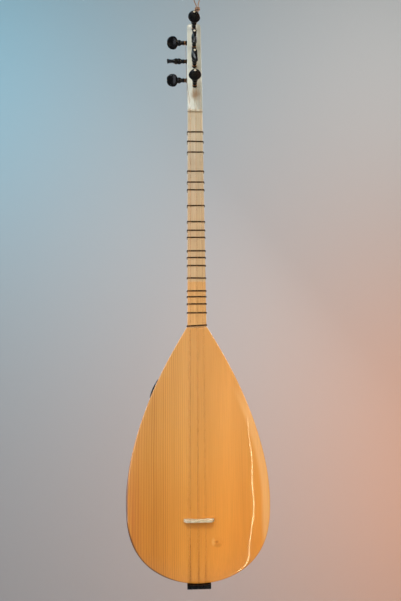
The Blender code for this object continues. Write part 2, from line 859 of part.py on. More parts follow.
def winding(centre, axis, tangent_side, radius, turn_sign):
    """Loops round a peg from the point on tangent_side, where the string runs up the head."""
    up = Vector((0, 0, 1))
    points = []
    count = WINDING_LOOPS * WINDING_POINTS
    for k in range(count + 1):
        angle = 2 * math.pi * k / WINDING_POINTS
        spoke = tangent_side * math.cos(angle) + up * math.sin(angle)
        points.append(centre + spoke * radius + axis * WINDING_PITCH * k / WINDING_POINTS)
    return points


def string_points(number, head_matrix):
    """One string from its bore in the holder to the end of its winding, in the neck's frame."""
    peg, diameter, side = STRINGS[number]
    nut_x = string_places(1, STRING_SPACING_AT_NUT)[number]
    bridge_x = string_places(2, STRING_SPACING_AT_BRIDGE)[number]
    holder_x = string_places(3, STRING_SPACING_AT_HOLDER)[number]
    behind_bridge = SCALE_LENGTH + BRIDGE_TOP_THICKNESS / 2 + BRIDGE_TRAVEL
    points = [
        Vector((holder_x, holder_bore_y(), holder_top() - HOLDER_BORE_DEPTH + CLEARANCE)),
        Vector((holder_x, holder_bore_y(), holder_top() + 0.0006)),
        Vector((bridge_x, -BRIDGE_HEIGHT, -behind_bridge)),
        Vector((nut_x, -NUT_HEIGHT, NUT_THICKNESS)),
    ]
    outward = peg_outward(peg)
    inner_share = math.cos(math.pi / WINDING_POINTS)
    radius = (PEG_GROOVE_RADIUS + CLEARANCE + diameter / 2) / inner_share
    spare = PEG_GROOVE_LENGTH - WINDING_LOOPS * WINDING_PITCH
    centre = peg_seat(peg) + outward * (groove_start() + spare / 2)
    if peg_is_front(peg):
        tangent_side = Vector((side, 0, 0))
        lowest = peg_station("front_peg_1")
        if side > 0 and peg == "front_peg_2":
            past = PEG_RING_RADIUS + STRING_PASSING_GAP
            points.append(head_matrix @ Vector((past, -groove_start() - spare, lowest)))
    else:
        tangent_side = Vector((0, -1, 0))
        height = STRING_EDGE_SHARE * peg_station(peg)
        edge = -head_half_width(height) - STRING_EDGE_GAP
        points.append(head_matrix @ Vector((edge, -STRING_EDGE_GAP, height)))
    coil = winding(centre, outward, tangent_side, radius, side)
    tail = coil[-1] + (coil[-1] - coil[-2]).normalized() * diameter
    points += [head_matrix @ point for point in [*coil, tail]]
    return points, len(coil)


def make_string(number, frame, head_matrix, finish):
    name = f"string_{number + 1}"
    diameter = STRINGS[number][1]
    points, coil_count = string_points(number, head_matrix)
    report_gap(name, points[-coil_count - 1:], diameter, WINDING_POINTS)
    return place(name, tube(name, points, diameter, 1), finish, frame)


# Frets


def fret_distance(semitones):
    return SCALE_LENGTH * (1 - 2 ** (-semitones / 12))


def make_fret(number, frame, finish):
    """One tied fret: two turns of thread round the neck, its origin on the neck's axis."""
    name = f"fret_{number:02d}"
    height = -fret_distance(FRET_SEMITONES[number - 1])
    slope = FRET_SLOPES.get(number, 0.0)
    outline = neck_section(height, CLEARANCE + FRET_DIAMETER / 2)
    count = len(outline)
    first = 6
    points = []
    for k in range(FRET_LOOPS * count + 1):
        corner = outline[(first + k) % count]
        rise = FRET_PITCH * (k / count - FRET_LOOPS / 2) + slope * corner.x
        points.append(Vector((corner.x, corner.y, rise)))
    head_end = points[0] + (points[0] - points[1]).normalized() * FRET_DIAMETER
    tail_end = points[-1] + (points[-1] - points[-2]).normalized() * FRET_DIAMETER
    points = [head_end, *points, tail_end]
    report_gap(name, points, FRET_DIAMETER, count)
    return place(name, tube(name, points, FRET_DIAMETER, 1), finish, frame, (0, 0, height))


# Hanging cord


def cord_bend(face, outward):
    """The cord from inside its hole to where it has turned upwards, clear of the head's face."""
    bend = []
    for inside in (1.8, 0.9, 0.0):
        depth = face - outward * inside * CORD_BEND_RADIUS
        bend.append(Vector((0, depth, CORD_HOLE_STATION)))
    for step in (1, 2, 3):
        angle = math.pi / 2 * step / 3
        away = face + outward * CORD_BEND_RADIUS * math.sin(angle)
        up = CORD_HOLE_STATION + CORD_BEND_RADIUS * (1 - math.cos(angle))
        bend.append(Vector((0, away, up)))
    return bend


def knot_strand(side):
    """The strand's straight run up through the knot, on the left (-1) or the right (1)."""
    return [
        Vector(KNOT_CENTRE) + Vector((side * KNOT_STRAND_SPACING / 2, 0, rise))
        for rise in (-KNOT_STRAIGHT_REACH, 0, KNOT_STRAIGHT_REACH)
    ]


def loop_bend():
    """The round top of the hanging loop, from its left side to its right."""
    angles = [math.pi * k / 6 for k in range(7)]
    return [
        Vector(LOOP_CENTRE) + LOOP_RADIUS * Vector((-math.cos(angle), 0, math.sin(angle)))
        for angle in angles
    ]


def cord_route():
    """The whole cord, both strands of which run straight through the knot."""
    points = cord_bend(0, -1) + [Vector(point) for point in CORD_UP] + knot_strand(-1)
    points += [Vector(point) for point in CORD_TO_LOOP] + loop_bend()
    points += [Vector(point) for point in CORD_FROM_LOOP] + knot_strand(1)[::-1]
    points += [Vector(point) for point in CORD_DOWN] + cord_bend(HEAD_THICKNESS, 1)[::-1]
    return smooth_route(points, CORD_STEPS_PER_POINT)


def make_cord(head_frame, finish):
    """The cord through the head's hole and round its hanging loop, and the knot that closes it."""
    cord = tube("hanging_cord", cord_route(), CORD_DIAMETER, 2)
    place("hanging_cord", cord, finish, head_frame)

    across = KNOT_STRAND_SPACING / 2 + CORD_DIAMETER + 2 * CLEARANCE
    deep = CORD_DIAMETER + 2 * CLEARANCE
    points = []
    for k in range(KNOT_LOOPS * KNOT_POINTS + 1):
        angle = 2 * math.pi * k / KNOT_POINTS + math.pi / 2
        rise = KNOT_PITCH * (k / KNOT_POINTS - KNOT_LOOPS / 2)
        spoke = Vector((across * math.cos(angle), deep * math.sin(angle), rise))
        points.append(Vector(KNOT_CENTRE) + spoke)
    report_gap("cord_knot", points, CORD_DIAMETER, KNOT_POINTS)
    place("cord_knot", tube("cord_knot", points, CORD_DIAMETER, 1), finish, head_frame)


def main():
    clear_scene()
    spruce = material("lacquered_spruce", (0.72, 0.35, 0.10), 0.18)
    bowl_wood = material("bowl_wood", (0.30, 0.13, 0.05), 0.22)
    block_wood = material("block_wood", (0.62, 0.45, 0.27), 0.5)
    neck_wood = material("neck_wood", (0.62, 0.42, 0.20), 0.35)
    head_wood = material("head_wood", (0.72, 0.66, 0.48), 0.35)
    bone = material("bone", (0.80, 0.70, 0.50), 0.4)
    black = material("black_lacquer", (0.01, 0.01, 0.012), 0.18)
    thread = material("dark_thread", (0.05, 0.025, 0.015), 0.45)
    steel = material("string_steel", (0.62, 0.58, 0.52), 0.3, 1.0)
    cord = material("brown_cord", (0.35, 0.22, 0.12), 0.85)

    head_start = NUT_THICKNESS + 2 * CLEARANCE
    head_matrix = Matrix.Translation((0, 0, head_start)) @ Matrix.Rotation(-HEAD_LEAN, 4, "X")
    loop_top = max(cord_route(), key=lambda point: point.z)
    loop_top.z -= CORD_DIAMETER / 2
    hanger = head_matrix @ loop_top
    frame = frame_empty("neck_frame", -hanger, (0, 0, 0), None)
    head_frame = frame_empty("head_frame", (0, 0, head_start), (-HEAD_LEAN, 0, 0), frame)

    make_soundboard(frame, spruce)
    staves = [make_stave(number, frame, bowl_wood) for number in range(1, STAVE_COUNT + 1)]
    make_neck_block(frame, block_wood)
    make_tail_block(frame, block_wood)
    envelope = make_body_envelope(frame)
    make_sound_hole(frame, staves, envelope, black)
    make_string_holder(frame, envelope, black)
    make_neck(frame, neck_wood)
    head = make_head(head_frame, head_wood)
    bore_head(head, head_frame)
    make_nut(frame, bone)
    make_bridge(frame, bone)
    for name in PEGS:
        make_peg(name, head_frame, black)
    for number in range(len(STRINGS)):
        make_string(number, frame, head_matrix, steel)
    for number in range(1, len(FRET_SEMITONES) + 1):
        make_fret(number, frame, thread)
    make_cord(head_frame, cord)


main()
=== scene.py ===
# %% [markdown]
# # A short-neck baglama
#
# A baglama is a long-necked lute. A bowl of thin staves is closed by a spruce soundboard, a neck
# with tied frets carries seven strings in three courses, and the head leans back from the nut.
# Here it hangs on a wall by a loop of cord. The measured solids are loaded first. They fix every
# size and every joint, and this script gives them finer shapes and real finishes.

# %% Load the measured solids
import math

import bmesh
import bpy
from mathutils import Matrix, Vector


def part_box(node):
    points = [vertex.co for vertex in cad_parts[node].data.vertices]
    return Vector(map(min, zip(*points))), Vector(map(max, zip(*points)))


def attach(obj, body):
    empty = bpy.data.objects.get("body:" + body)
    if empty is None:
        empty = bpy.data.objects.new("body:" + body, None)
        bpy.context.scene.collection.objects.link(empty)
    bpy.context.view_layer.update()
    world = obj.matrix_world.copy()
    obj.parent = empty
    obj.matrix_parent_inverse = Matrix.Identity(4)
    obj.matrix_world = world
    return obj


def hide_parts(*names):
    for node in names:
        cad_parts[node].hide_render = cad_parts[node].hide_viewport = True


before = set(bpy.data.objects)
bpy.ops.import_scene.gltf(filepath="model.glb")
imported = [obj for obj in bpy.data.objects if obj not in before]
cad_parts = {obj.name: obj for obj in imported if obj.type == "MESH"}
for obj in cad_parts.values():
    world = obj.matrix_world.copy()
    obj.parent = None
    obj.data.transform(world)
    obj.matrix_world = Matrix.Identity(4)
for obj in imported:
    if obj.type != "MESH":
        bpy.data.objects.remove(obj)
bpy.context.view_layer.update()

# %% [markdown]
# The nut's lower edge on the neck's face is the place that a luthier measures from, so it is the
# origin of the working frame, with Z up the neck and Y into the body. The head has a frame of its
# own, because it leans back by nine degrees.

# %% Find the neck's and the head's frames
HEAD_LEAN = math.radians(9)
neck_low, neck_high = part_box("neck")
nut_low, nut_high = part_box("nut")
NECK_X = (neck_low[0] + neck_high[0]) / 2
neck_frame = Matrix.Translation((NECK_X, neck_low[1], nut_low[2]))
HEAD_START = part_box("head")[0][2] - nut_low[2]
head_in_neck = Matrix.Translation((0, 0, HEAD_START)) @ Matrix.Rotation(-HEAD_LEAN, 4, "X")
head_frame = neck_frame @ head_in_neck
print("the nut is at", [round(v, 4) for v in neck_frame.translation])

# %% [markdown]
# The photograph was taken from about the height of the body's shoulder and rather close, so the
# head looks smaller than the bowl. The camera's place, aim and lens were worked out from the
# soundboard's outline and from the distances between the frets.

# %% The camera
CAMERA_PLACE = Vector((-0.0243, -0.7977, -0.4648))
CAMERA_FORWARD = Vector((0.03855, 0.99062, 0.13108))
CAMERA_UP = Vector((0.00504, -0.13137, 0.99132))
CAMERA_LENS = 27.05
SENSOR = 36.0


def aim(forward, up):
    """A rotation whose -Z looks forward and whose Y is as close to up as it can be."""
    back = -forward.normalized()
    right = up.cross(back).normalized()
    return Matrix((right, back.cross(right), back)).transposed().to_4x4()


camera_data = bpy.data.cameras.new("camera")
camera_data.lens = CAMERA_LENS
camera_data.sensor_width = SENSOR
camera = bpy.data.objects.new("camera", camera_data)
bpy.context.scene.collection.objects.link(camera)
camera.matrix_world = neck_frame @ Matrix.Translation(CAMERA_PLACE) @ aim(CAMERA_FORWARD, CAMERA_UP)
bpy.context.scene.camera = camera
bpy.context.scene.view_settings.view_transform = "Standard"
print("camera at", [round(v, 3) for v in camera.matrix_world.translation])

# %% [markdown]
# A finish is built from nodes. These helpers keep each material short: they start a material, add
# a node with its settings, do sums, and turn a number into a colour. Every pattern is drawn in the
# working frame, in metres, by a Mapping node that moves the object's own coordinates there.

# %% Helpers for materials


def start_material(name):
    made = bpy.data.materials.new(name)
    made.use_nodes = True
    return made, made.node_tree, made.node_tree.nodes["Principled BSDF"]


def add(tree, kind, inputs=None, **settings):
    node = tree.nodes.new(kind)
    for name, value in settings.items():
        setattr(node, name, value)
    for name, value in (inputs or {}).items():
        node.inputs[name].default_value = value
    return node


def feed(tree, socket, value):
    """Joins a socket to another one, or sets it to a number."""
    if isinstance(value, bpy.types.NodeSocket):
        tree.links.new(value, socket)
    else:
        socket.default_value = value


def calc(tree, operation, first, second=0.0):
    node = add(tree, "ShaderNodeMath", operation=operation)
    feed(tree, node.inputs[0], first)
    feed(tree, node.inputs[1], second)
    return node.outputs[0]


def between(tree, value, low, high, to_low=0.0, to_high=1.0):
    """How far value has gone from low to high, held at the ends, eased and scaled."""
    limits = {"From Min": low, "From Max": high, "To Min": to_low, "To Max": to_high}
    node = add(tree, "ShaderNodeMapRange", limits, interpolation_type="SMOOTHSTEP")
    feed(tree, node.inputs["Value"], value)
    return node.outputs["Result"]


def ramp(tree, factor, stops):
    """A colour ramp fed by factor, with stops of (position, colour)."""
    node = add(tree, "ShaderNodeValToRGB")
    elements = node.color_ramp.elements
    while len(elements) < len(stops):
        elements.new(0.5)
    for element, (position, colour) in zip(elements, stops):
        element.position = position
        element.color = (*colour, 1.0)
    tree.links.new(factor, node.inputs["Fac"])
    return node.outputs["Color"]


def working_place(tree, frame_of=None, scale=(1, 1, 1)):
    """The point in the neck's frame, or in another one, stretched by scale."""
    home = frame_of or neck_frame
    place = add(tree, "ShaderNodeTexCoord")
    undo = {"Location": home.translation, "Rotation": home.to_euler(), "Scale": [1 / v for v in scale]}
    there = add(tree, "ShaderNodeMapping", undo, vector_type="TEXTURE")
    tree.links.new(place.outputs["Object"], there.inputs["Vector"])
    return there.outputs["Vector"]


def noise_at(tree, vector, detail=4.0, roughness=0.55, scale=1.0):
    settings = {"Scale": scale, "Detail": detail, "Roughness": roughness}
    node = add(tree, "ShaderNodeTexNoise", settings)
    tree.links.new(vector, node.inputs["Vector"])
    return node.outputs["Fac"]


def stretched_noise(tree, scale, detail=4.0, roughness=0.55):
    return noise_at(tree, working_place(tree, scale=scale), detail, roughness)


def mixed(tree, factor, first, second, blend="MIX"):
    node = add(tree, "ShaderNodeMix", data_type="RGBA", blend_type=blend)
    for socket, value in (("Factor", factor), ("A", first), ("B", second)):
        target = next(s for s in node.inputs if s.name == socket and s.enabled)
        feed(tree, target, (*value, 1.0) if isinstance(value, tuple) else value)
    return next(s for s in node.outputs if s.enabled)


def bump(tree, shader, height, distance, strength=0.5, below=None):
    node = add(tree, "ShaderNodeBump", {"Distance": distance, "Strength": strength})
    tree.links.new(height, node.inputs["Height"])
    if below is not None:
        tree.links.new(below, node.inputs["Normal"])
    tree.links.new(node.outputs["Normal"], shader.inputs["Normal"])
    return node.outputs["Normal"]


def rough_between(tree, shader, factor, low, high):
    tree.links.new(between(tree, factor, 0.25, 0.75, low, high), shader.inputs["Roughness"])


# %% [markdown]
# The soundboard is quarter-sawn spruce under a honey-coloured lacquer. Its growth rings run
# straight down the board. They are wide and clear on the left, and fine and faint on the right.
# The ring's number at a point is a sum of the distance across the board, so the rings can change
# their width smoothly. A ring bends round the small knot below the bridge, and each late-wood line
# has a strength of its own. The board is bluer near the neck and warmer towards the tail. Light and
# shade are painted into its colour too: it is darker on the left and lighter on the right, its lower
# left corner is darker, a painted highlight runs as a pale band along the right rim, and a thin line
# of painted shade follows the rolled rim at the lower left. A picture of wood would be quicker, but
# it can't follow this board.

# %% Spruce
KNOT_X, KNOT_Z = 0.0294, -0.7658
KNOT_WIDTH, KNOT_HEIGHT = 0.0070, 0.0048
BOARD_TOP, BOARD_WIDEST = -0.4065, -0.6945
BOARD_HALF, THROAT_HALF, SHOULDER_POWER = 0.12225, 0.018, 1.74
RINGS_AT_MIDDLE = 330.0
RINGS_GROWTH = 560.0


def patch(tree, x, z, centre, radii, ruffle):
    """A ragged oval: 1 at its centre and 0 outside it."""
    x = calc(tree, "POWER", calc(tree, "DIVIDE", calc(tree, "SUBTRACT", x, centre[0]), radii[0]), 2)
    z = calc(tree, "POWER", calc(tree, "DIVIDE", calc(tree, "SUBTRACT", z, centre[1]), radii[1]), 2)
    far = calc(tree, "ADD", calc(tree, "ADD", x, z), calc(tree, "MULTIPLY", ruffle, 0.8))
    return between(tree, far, 1.9, 0.3)


def spruce_finish():
    made, tree, shader = start_material("lacquered_spruce")
    parts = add(tree, "ShaderNodeSeparateXYZ")
    tree.links.new(working_place(tree), parts.inputs["Vector"])
    x, z = parts.outputs["X"], parts.outputs["Z"]

    drift = calc(tree, "SUBTRACT", stretched_noise(tree, (7, 7, 2.2), 2.0), 0.5)
    across = calc(tree, "ADD", x, calc(tree, "MULTIPLY", drift, 0.010))
    knot_x = calc(tree, "DIVIDE", calc(tree, "SUBTRACT", x, KNOT_X), KNOT_WIDTH)
    knot_z = calc(tree, "DIVIDE", calc(tree, "SUBTRACT", z, KNOT_Z), KNOT_HEIGHT)
    square = calc(tree, "ADD", calc(tree, "POWER", knot_x, 2), calc(tree, "POWER", knot_z, 2))
    ruffle = calc(tree, "MULTIPLY", stretched_noise(tree, (260, 260, 260), 2.0), 0.9)
    knot_far = calc(tree, "ADD", calc(tree, "SQRT", square), calc(tree, "SUBTRACT", ruffle, 0.45))
    near_knot = between(tree, knot_far, 2.6, 0.2)
    crescent = patch(tree, knot_x, knot_z, (-0.75, 0.1), (0.45, 1.35), ruffle)
    smudge = patch(tree, knot_x, knot_z, (0.30, -1.0), (0.90, 0.75), ruffle)
    rings = calc(tree, "MULTIPLY", across, across)
    rings = calc(tree, "MULTIPLY", rings, RINGS_GROWTH)
    rings = calc(tree, "ADD", rings, calc(tree, "MULTIPLY", across, RINGS_AT_MIDDLE))
    rings = calc(tree, "ADD", rings, calc(tree, "MULTIPLY", near_knot, 1.6))

    wave = calc(tree, "SINE", calc(tree, "MULTIPLY", rings, 2 * math.pi))
    line = between(tree, wave, -0.1, -1.0)
    ring_place = add(tree, "ShaderNodeCombineXYZ")
    tree.links.new(calc(tree, "MULTIPLY", rings, 0.45), ring_place.inputs["X"])
    tree.links.new(calc(tree, "MULTIPLY", z, 1.3), ring_place.inputs["Z"])
    strength = between(tree, noise_at(tree, ring_place.outputs["Vector"], 2.0), 0.3, 0.7, 0.25, 1.0)
    left = between(tree, x, 0.010, -0.080, 0.16, 1.0)
    line = calc(tree, "MULTIPLY", calc(tree, "MULTIPLY", line, strength), left)

    fibres = stretched_noise(tree, (900, 900, 12), 3.0)
    broad = stretched_noise(tree, (16, 16, 1.6), 2.0)
    # Painted light: the board's colour runs from darker on the left to lighter on the right, standing in for
    # light from the right.
    colour = ramp(tree, between(tree, x, -0.10, 0.08), [
        (0.0, (0.590, 0.257, 0.051)), (0.45, (0.655, 0.297, 0.068)), (1.0, (0.762, 0.315, 0.065)),
    ])
    tint = ramp(tree, broad, [(0.30, (0.90, 0.88, 0.84)), (0.70, (1.08, 1.08, 1.10))])
    colour = mixed(tree, 1.0, colour, tint, "MULTIPLY")
    # The board is bluer near the neck and warmer towards the tail.
    cool_neck_warm_tail = ramp(tree, between(tree, z, -0.43, -0.80), [
        (0.0, (0.94, 1.00, 1.22)), (0.5, (1.0, 1.0, 1.0)), (1.0, (1.06, 0.92, 0.60)),
    ])
    colour = mixed(tree, 1.0, colour, cool_neck_warm_tail, "MULTIPLY")
    # Painted shade: the lower left corner of the board is darkened.
    corner = calc(tree, "MULTIPLY", between(tree, x, 0.020, -0.080), between(tree, z, -0.60, -0.76, 0.0, 0.22))
    colour = mixed(tree, corner, colour, (0.40, 0.115, 0.010))
    # Painted highlight: a pale band along the right rim, following the outline, stands in for the lacquer's
    # reflection there.
    rise = calc(tree, "DIVIDE", calc(tree, "SUBTRACT", z, BOARD_WIDEST), BOARD_TOP - BOARD_WIDEST)
    narrower = calc(tree, "POWER", calc(tree, "MAXIMUM", rise, 0.0), SHOULDER_POWER)
    narrower = calc(tree, "MULTIPLY", narrower, BOARD_HALF - THROAT_HALF)
    inside = calc(tree, "SUBTRACT", calc(tree, "SUBTRACT", BOARD_HALF, narrower), x)
    painted_rim_highlight = calc(tree, "MULTIPLY", between(tree, inside, 0.018, 0.010), between(tree, z, -0.50, -0.56))
    painted_rim_highlight = calc(tree, "MULTIPLY", painted_rim_highlight, between(tree, z, -0.79, -0.75, 0.0, 0.9))
    colour = mixed(tree, painted_rim_highlight, colour, (0.85, 0.42, 0.142))
    colour = mixed(tree, calc(tree, "MULTIPLY", line, 0.66), colour, (0.34, 0.105, 0.014))
    tint = ramp(tree, fibres, [(0.35, (0.95, 0.94, 0.92)), (0.60, (1.03, 1.03, 1.03))])
    colour = mixed(tree, 1.0, colour, tint, "MULTIPLY")
    streaks = between(tree, stretched_noise(tree, (110, 110, 3.5), 2.0), 0.52, 0.70)
    streaks = calc(tree, "MULTIPLY", streaks, between(tree, x, -0.086, -0.108, 0.0, 0.40))
    colour = mixed(tree, streaks, colour, (0.45, 0.12, 0.018))
    colour = mixed(tree, calc(tree, "MULTIPLY", crescent, 0.60), colour, (0.84, 0.42, 0.11))
    colour = mixed(tree, calc(tree, "MULTIPLY", smudge, 0.55), colour, (0.52, 0.17, 0.018))
    knot = ramp(tree, calc(tree, "DIVIDE", knot_far, 2.0), [
        (0.0, (0.58, 0.42, 0.30)), (0.15, (0.78, 0.66, 0.55)), (0.30, (0.99, 0.97, 0.95)),
        (0.6, (0.97, 0.95, 0.92)), (1.0, (1.0, 1.0, 1.0)),
    ])
    colour = mixed(tree, 1.0, colour, knot, "MULTIPLY")
    # Painted shade: a thin dark line on the rolled rim at the lower left, where the edge turns away from the
    # light.
    rim = calc(tree, "MULTIPLY", between(tree, x, -0.010, -0.050), between(tree, z, -0.58, -0.72))
    rim = calc(tree, "MULTIPLY", rim, between(tree, parts.outputs["Y"], 0.0038, 0.0043, 0.0, 0.9))
    colour = mixed(tree, rim, colour, (0.075, 0.028, 0.010))
    tree.links.new(colour, shader.inputs["Base Color"])

    rough_between(tree, shader, fibres, 0.34, 0.46)
    shader.inputs["Specular IOR Level"].default_value = 0.3
    shader.inputs["Coat Weight"].default_value = 1.0
    shader.inputs["Coat Roughness"].default_value = 0.045
    shader.inputs["Subsurface Weight"].default_value = 0.12
    shader.inputs["Subsurface Radius"].default_value = (0.004, 0.0016, 0.0006)
    grain = calc(tree, "ADD", calc(tree, "MULTIPLY", line, -0.6), calc(tree, "MULTIPLY", fibres, 0.4))
    bump(tree, shader, grain, 0.00006, 0.35)
    return made


spruce = spruce_finish()
print("soundboard finish:", spruce.name)

# %% [markdown]
# The neck is a pale stick. Its lower quarter was lacquered with the body, so it is more orange
# and glossier there, and a fairly sharp edge crosses the neck between the fourteenth and the
# fifteenth fret. The head is nearly white, with a brown patch below the lowest front peg that is
# partly a stain and partly the peg's shadow, painted in. Light is painted on the head as well: its
# left side is lighter and its right side darker, and its middle is lighter than its foot and tip.
# Both have fine fibres along them.

# %% Neck and head wood
LACQUER_EDGE = -0.325
STAIN_AND_SHADOW_HEIGHT = 0.035


def stick_wood(name, tones, along, roughness, frame_of=None):
    """Plain straight-grained wood; returns what a finish adds its own marks to."""
    made, tree, shader = start_material(name)
    fibres = noise_at(tree, working_place(tree, frame_of, (420, 420, along)), 4.0)
    broad = noise_at(tree, working_place(tree, frame_of, (70, 70, along / 5)), 2.0)
    pores = noise_at(tree, working_place(tree, frame_of, (1300, 1300, along * 5)), 2.0)
    colour = ramp(tree, broad, [(0.30, tones[0]), (0.50, tones[1]), (0.72, tones[2])])
    tint = ramp(tree, fibres, [(0.30, (0.90, 0.88, 0.85)), (0.60, (1.05, 1.05, 1.06))])
    colour = mixed(tree, 1.0, colour, tint, "MULTIPLY")
    tint = ramp(tree, pores, [(0.34, (0.84, 0.80, 0.74)), (0.46, (1.0, 1.0, 1.0))])
    colour = mixed(tree, 0.7, colour, tint, "MULTIPLY")
    rough_between(tree, shader, fibres, roughness * 0.85, roughness * 1.2)
    bump(tree, shader, fibres, 0.00008, 0.4)
    return made, tree, shader, colour


def neck_finish():
    tones = ((0.425, 0.325, 0.197), (0.482, 0.383, 0.245), (0.530, 0.420, 0.280))
    made, tree, shader, colour = stick_wood("neck_wood", tones, 9, 0.42)
    parts = add(tree, "ShaderNodeSeparateXYZ")
    tree.links.new(working_place(tree), parts.inputs["Vector"])
    z = parts.outputs["Z"]
    ragged = stretched_noise(tree, (300, 300, 40), 3.0)
    edge = calc(tree, "ADD", z, calc(tree, "MULTIPLY", ragged, 0.004))
    lacquered = between(tree, edge, LACQUER_EDGE + 0.004, LACQUER_EDGE)
    paler = between(tree, z, -0.12, -0.02)
    colour = mixed(tree, paler, colour, mixed(tree, 1.0, colour, (1.20, 1.24, 1.27), "MULTIPLY"))
    warmer = between(tree, z, -0.02, -0.30, 0.0, 0.55)
    colour = mixed(tree, warmer, colour, mixed(tree, 1.0, colour, (1.22, 0.84, 0.44), "MULTIPLY"))
    colour = mixed(tree, lacquered, colour, mixed(tree, 1.0, colour, (1.20, 0.97, 0.68), "MULTIPLY"))
    tree.links.new(colour, shader.inputs["Base Color"])
    tree.links.new(between(tree, lacquered, 0.0, 1.0, 0.45, 0.26), shader.inputs["Roughness"])
    tree.links.new(between(tree, lacquered, 0.0, 1.0, 0.15, 0.9), shader.inputs["Coat Weight"])
    shader.inputs["Coat Roughness"].default_value = 0.08
    return made


def head_finish():
    tones = ((0.47, 0.465, 0.365), (0.545, 0.555, 0.465), (0.61, 0.63, 0.55))
    made, tree, shader, colour = stick_wood("head_wood", tones, 14, 0.40, head_frame)
    parts = add(tree, "ShaderNodeSeparateXYZ")
    tree.links.new(working_place(tree, head_frame), parts.inputs["Vector"])
    # A brown patch below the lowest front peg: partly a stain, partly the peg's painted shadow.
    rise = calc(tree, "SUBTRACT", parts.outputs["Z"], STAIN_AND_SHADOW_HEIGHT)
    rise = calc(tree, "DIVIDE", rise, 0.015)
    aside = calc(tree, "DIVIDE", calc(tree, "SUBTRACT", parts.outputs["X"], 0.0015), 0.009)
    far = calc(tree, "SQRT", calc(tree, "ADD", calc(tree, "POWER", rise, 2), calc(tree, "POWER", aside, 2)))
    cloud = noise_at(tree, working_place(tree, head_frame, (220, 220, 90)), 4.0)
    far = calc(tree, "ADD", far, calc(tree, "MULTIPLY", calc(tree, "SUBTRACT", cloud, 0.5), 1.4))
    stain_and_shadow = between(tree, far, 1.25, 0.1, 0.0, 0.85)
    stain_and_shadow = calc(tree, "MULTIPLY", stain_and_shadow, between(tree, parts.outputs["Y"], 0.006, 0.001))
    # Painted light: the head's left side is lighter and its right side darker.
    side = ramp(tree, between(tree, parts.outputs["X"], -0.010, 0.012), [
        (0.0, (1.12, 1.11, 1.10)), (0.5, (1.04, 1.04, 1.02)), (1.0, (0.84, 0.82, 0.80)),
    ])
    colour = mixed(tree, 1.0, colour, side, "MULTIPLY")
    # Painted light: the head's middle is lighter than its foot and its tip.
    height = ramp(tree, between(tree, parts.outputs["Z"], 0.02, 0.15), [
        (0.0, (1.03, 1.01, 0.99)), (0.4, (1.16, 1.16, 1.15)), (1.0, (1.04, 1.06, 1.07)),
    ])
    colour = mixed(tree, 1.0, colour, height, "MULTIPLY")
    colour = mixed(tree, stain_and_shadow, colour, (0.33, 0.20, 0.10))
    tree.links.new(colour, shader.inputs["Base Color"])
    shader.inputs["Coat Weight"].default_value = 0.25
    shader.inputs["Coat Roughness"].default_value = 0.15
    return made


def block_finish():
    tones = ((0.33, 0.165, 0.060), (0.40, 0.215, 0.085), (0.47, 0.265, 0.110))
    made, tree, shader, colour = stick_wood("block_wood", tones, 10, 0.35)
    tree.links.new(colour, shader.inputs["Base Color"])
    shader.inputs["Coat Weight"].default_value = 0.8
    shader.inputs["Coat Roughness"].default_value = 0.08
    return made


neck_wood = neck_finish()
head_wood = head_finish()
block_wood = block_finish()
print("stick finishes:", neck_wood.name, head_wood.name, block_wood.name)

# %% [markdown]
# The staves are bent strips of a darker, redder wood. Each strip's grain follows the strip, so it
# is drawn on the piece's own UV map, where U goes across and V along. Every stave has its U moved
# by a step of its own, and so each one comes from another part of the plank.

# %% Bowl wood


def bowl_finish():
    made, tree, shader = start_material("bowl_wood")
    place = add(tree, "ShaderNodeUVMap", uv_map="UVMap")

    def fibres_of(scale, detail):
        stretch = add(tree, "ShaderNodeMapping", {"Scale": scale})
        tree.links.new(place.outputs["UV"], stretch.inputs["Vector"])
        return noise_at(tree, stretch.outputs["Vector"], detail)

    tone = fibres_of((1.7, 0.4, 1), 0.0)
    figure = fibres_of((28, 3.2, 1), 3.0)
    fibres = fibres_of((210, 5, 1), 4.0)
    pores = fibres_of((420, 24, 1), 2.0)
    colour = ramp(tree, figure, [
        (0.28, (0.150, 0.048, 0.016)), (0.48, (0.245, 0.090, 0.030)), (0.70, (0.360, 0.150, 0.052)),
    ])
    tint = ramp(tree, tone, [(0.35, (0.72, 0.68, 0.66)), (0.65, (1.22, 1.24, 1.26))])
    colour = mixed(tree, 1.0, colour, tint, "MULTIPLY")
    tint = ramp(tree, fibres, [(0.32, (0.78, 0.74, 0.70)), (0.60, (1.10, 1.10, 1.10))])
    colour = mixed(tree, 1.0, colour, tint, "MULTIPLY")
    tint = ramp(tree, pores, [(0.36, (0.55, 0.50, 0.46)), (0.44, (1.0, 1.0, 1.0))])
    colour = mixed(tree, 1.0, colour, tint, "MULTIPLY")
    tree.links.new(colour, shader.inputs["Base Color"])
    rough_between(tree, shader, fibres, 0.30, 0.42)
    shader.inputs["Coat Weight"].default_value = 0.9
    shader.inputs["Coat Roughness"].default_value = 0.05
    bump(tree, shader, fibres, 0.00005, 0.3)
    return made


bowl_wood = bowl_finish()
print("bowl finish:", bowl_wood.name)

# %% [markdown]
# The nut and the bridge are a pale, slightly waxy material with faint streaks, and the bridge is a
# little warmer than the nut. The pegs, the string holder and the ring of the sound hole are turned
# or carved and finished black. Wire, thread and cord each have a surface of their own, and the
# cord's twist is real geometry.

# %% Other finishes


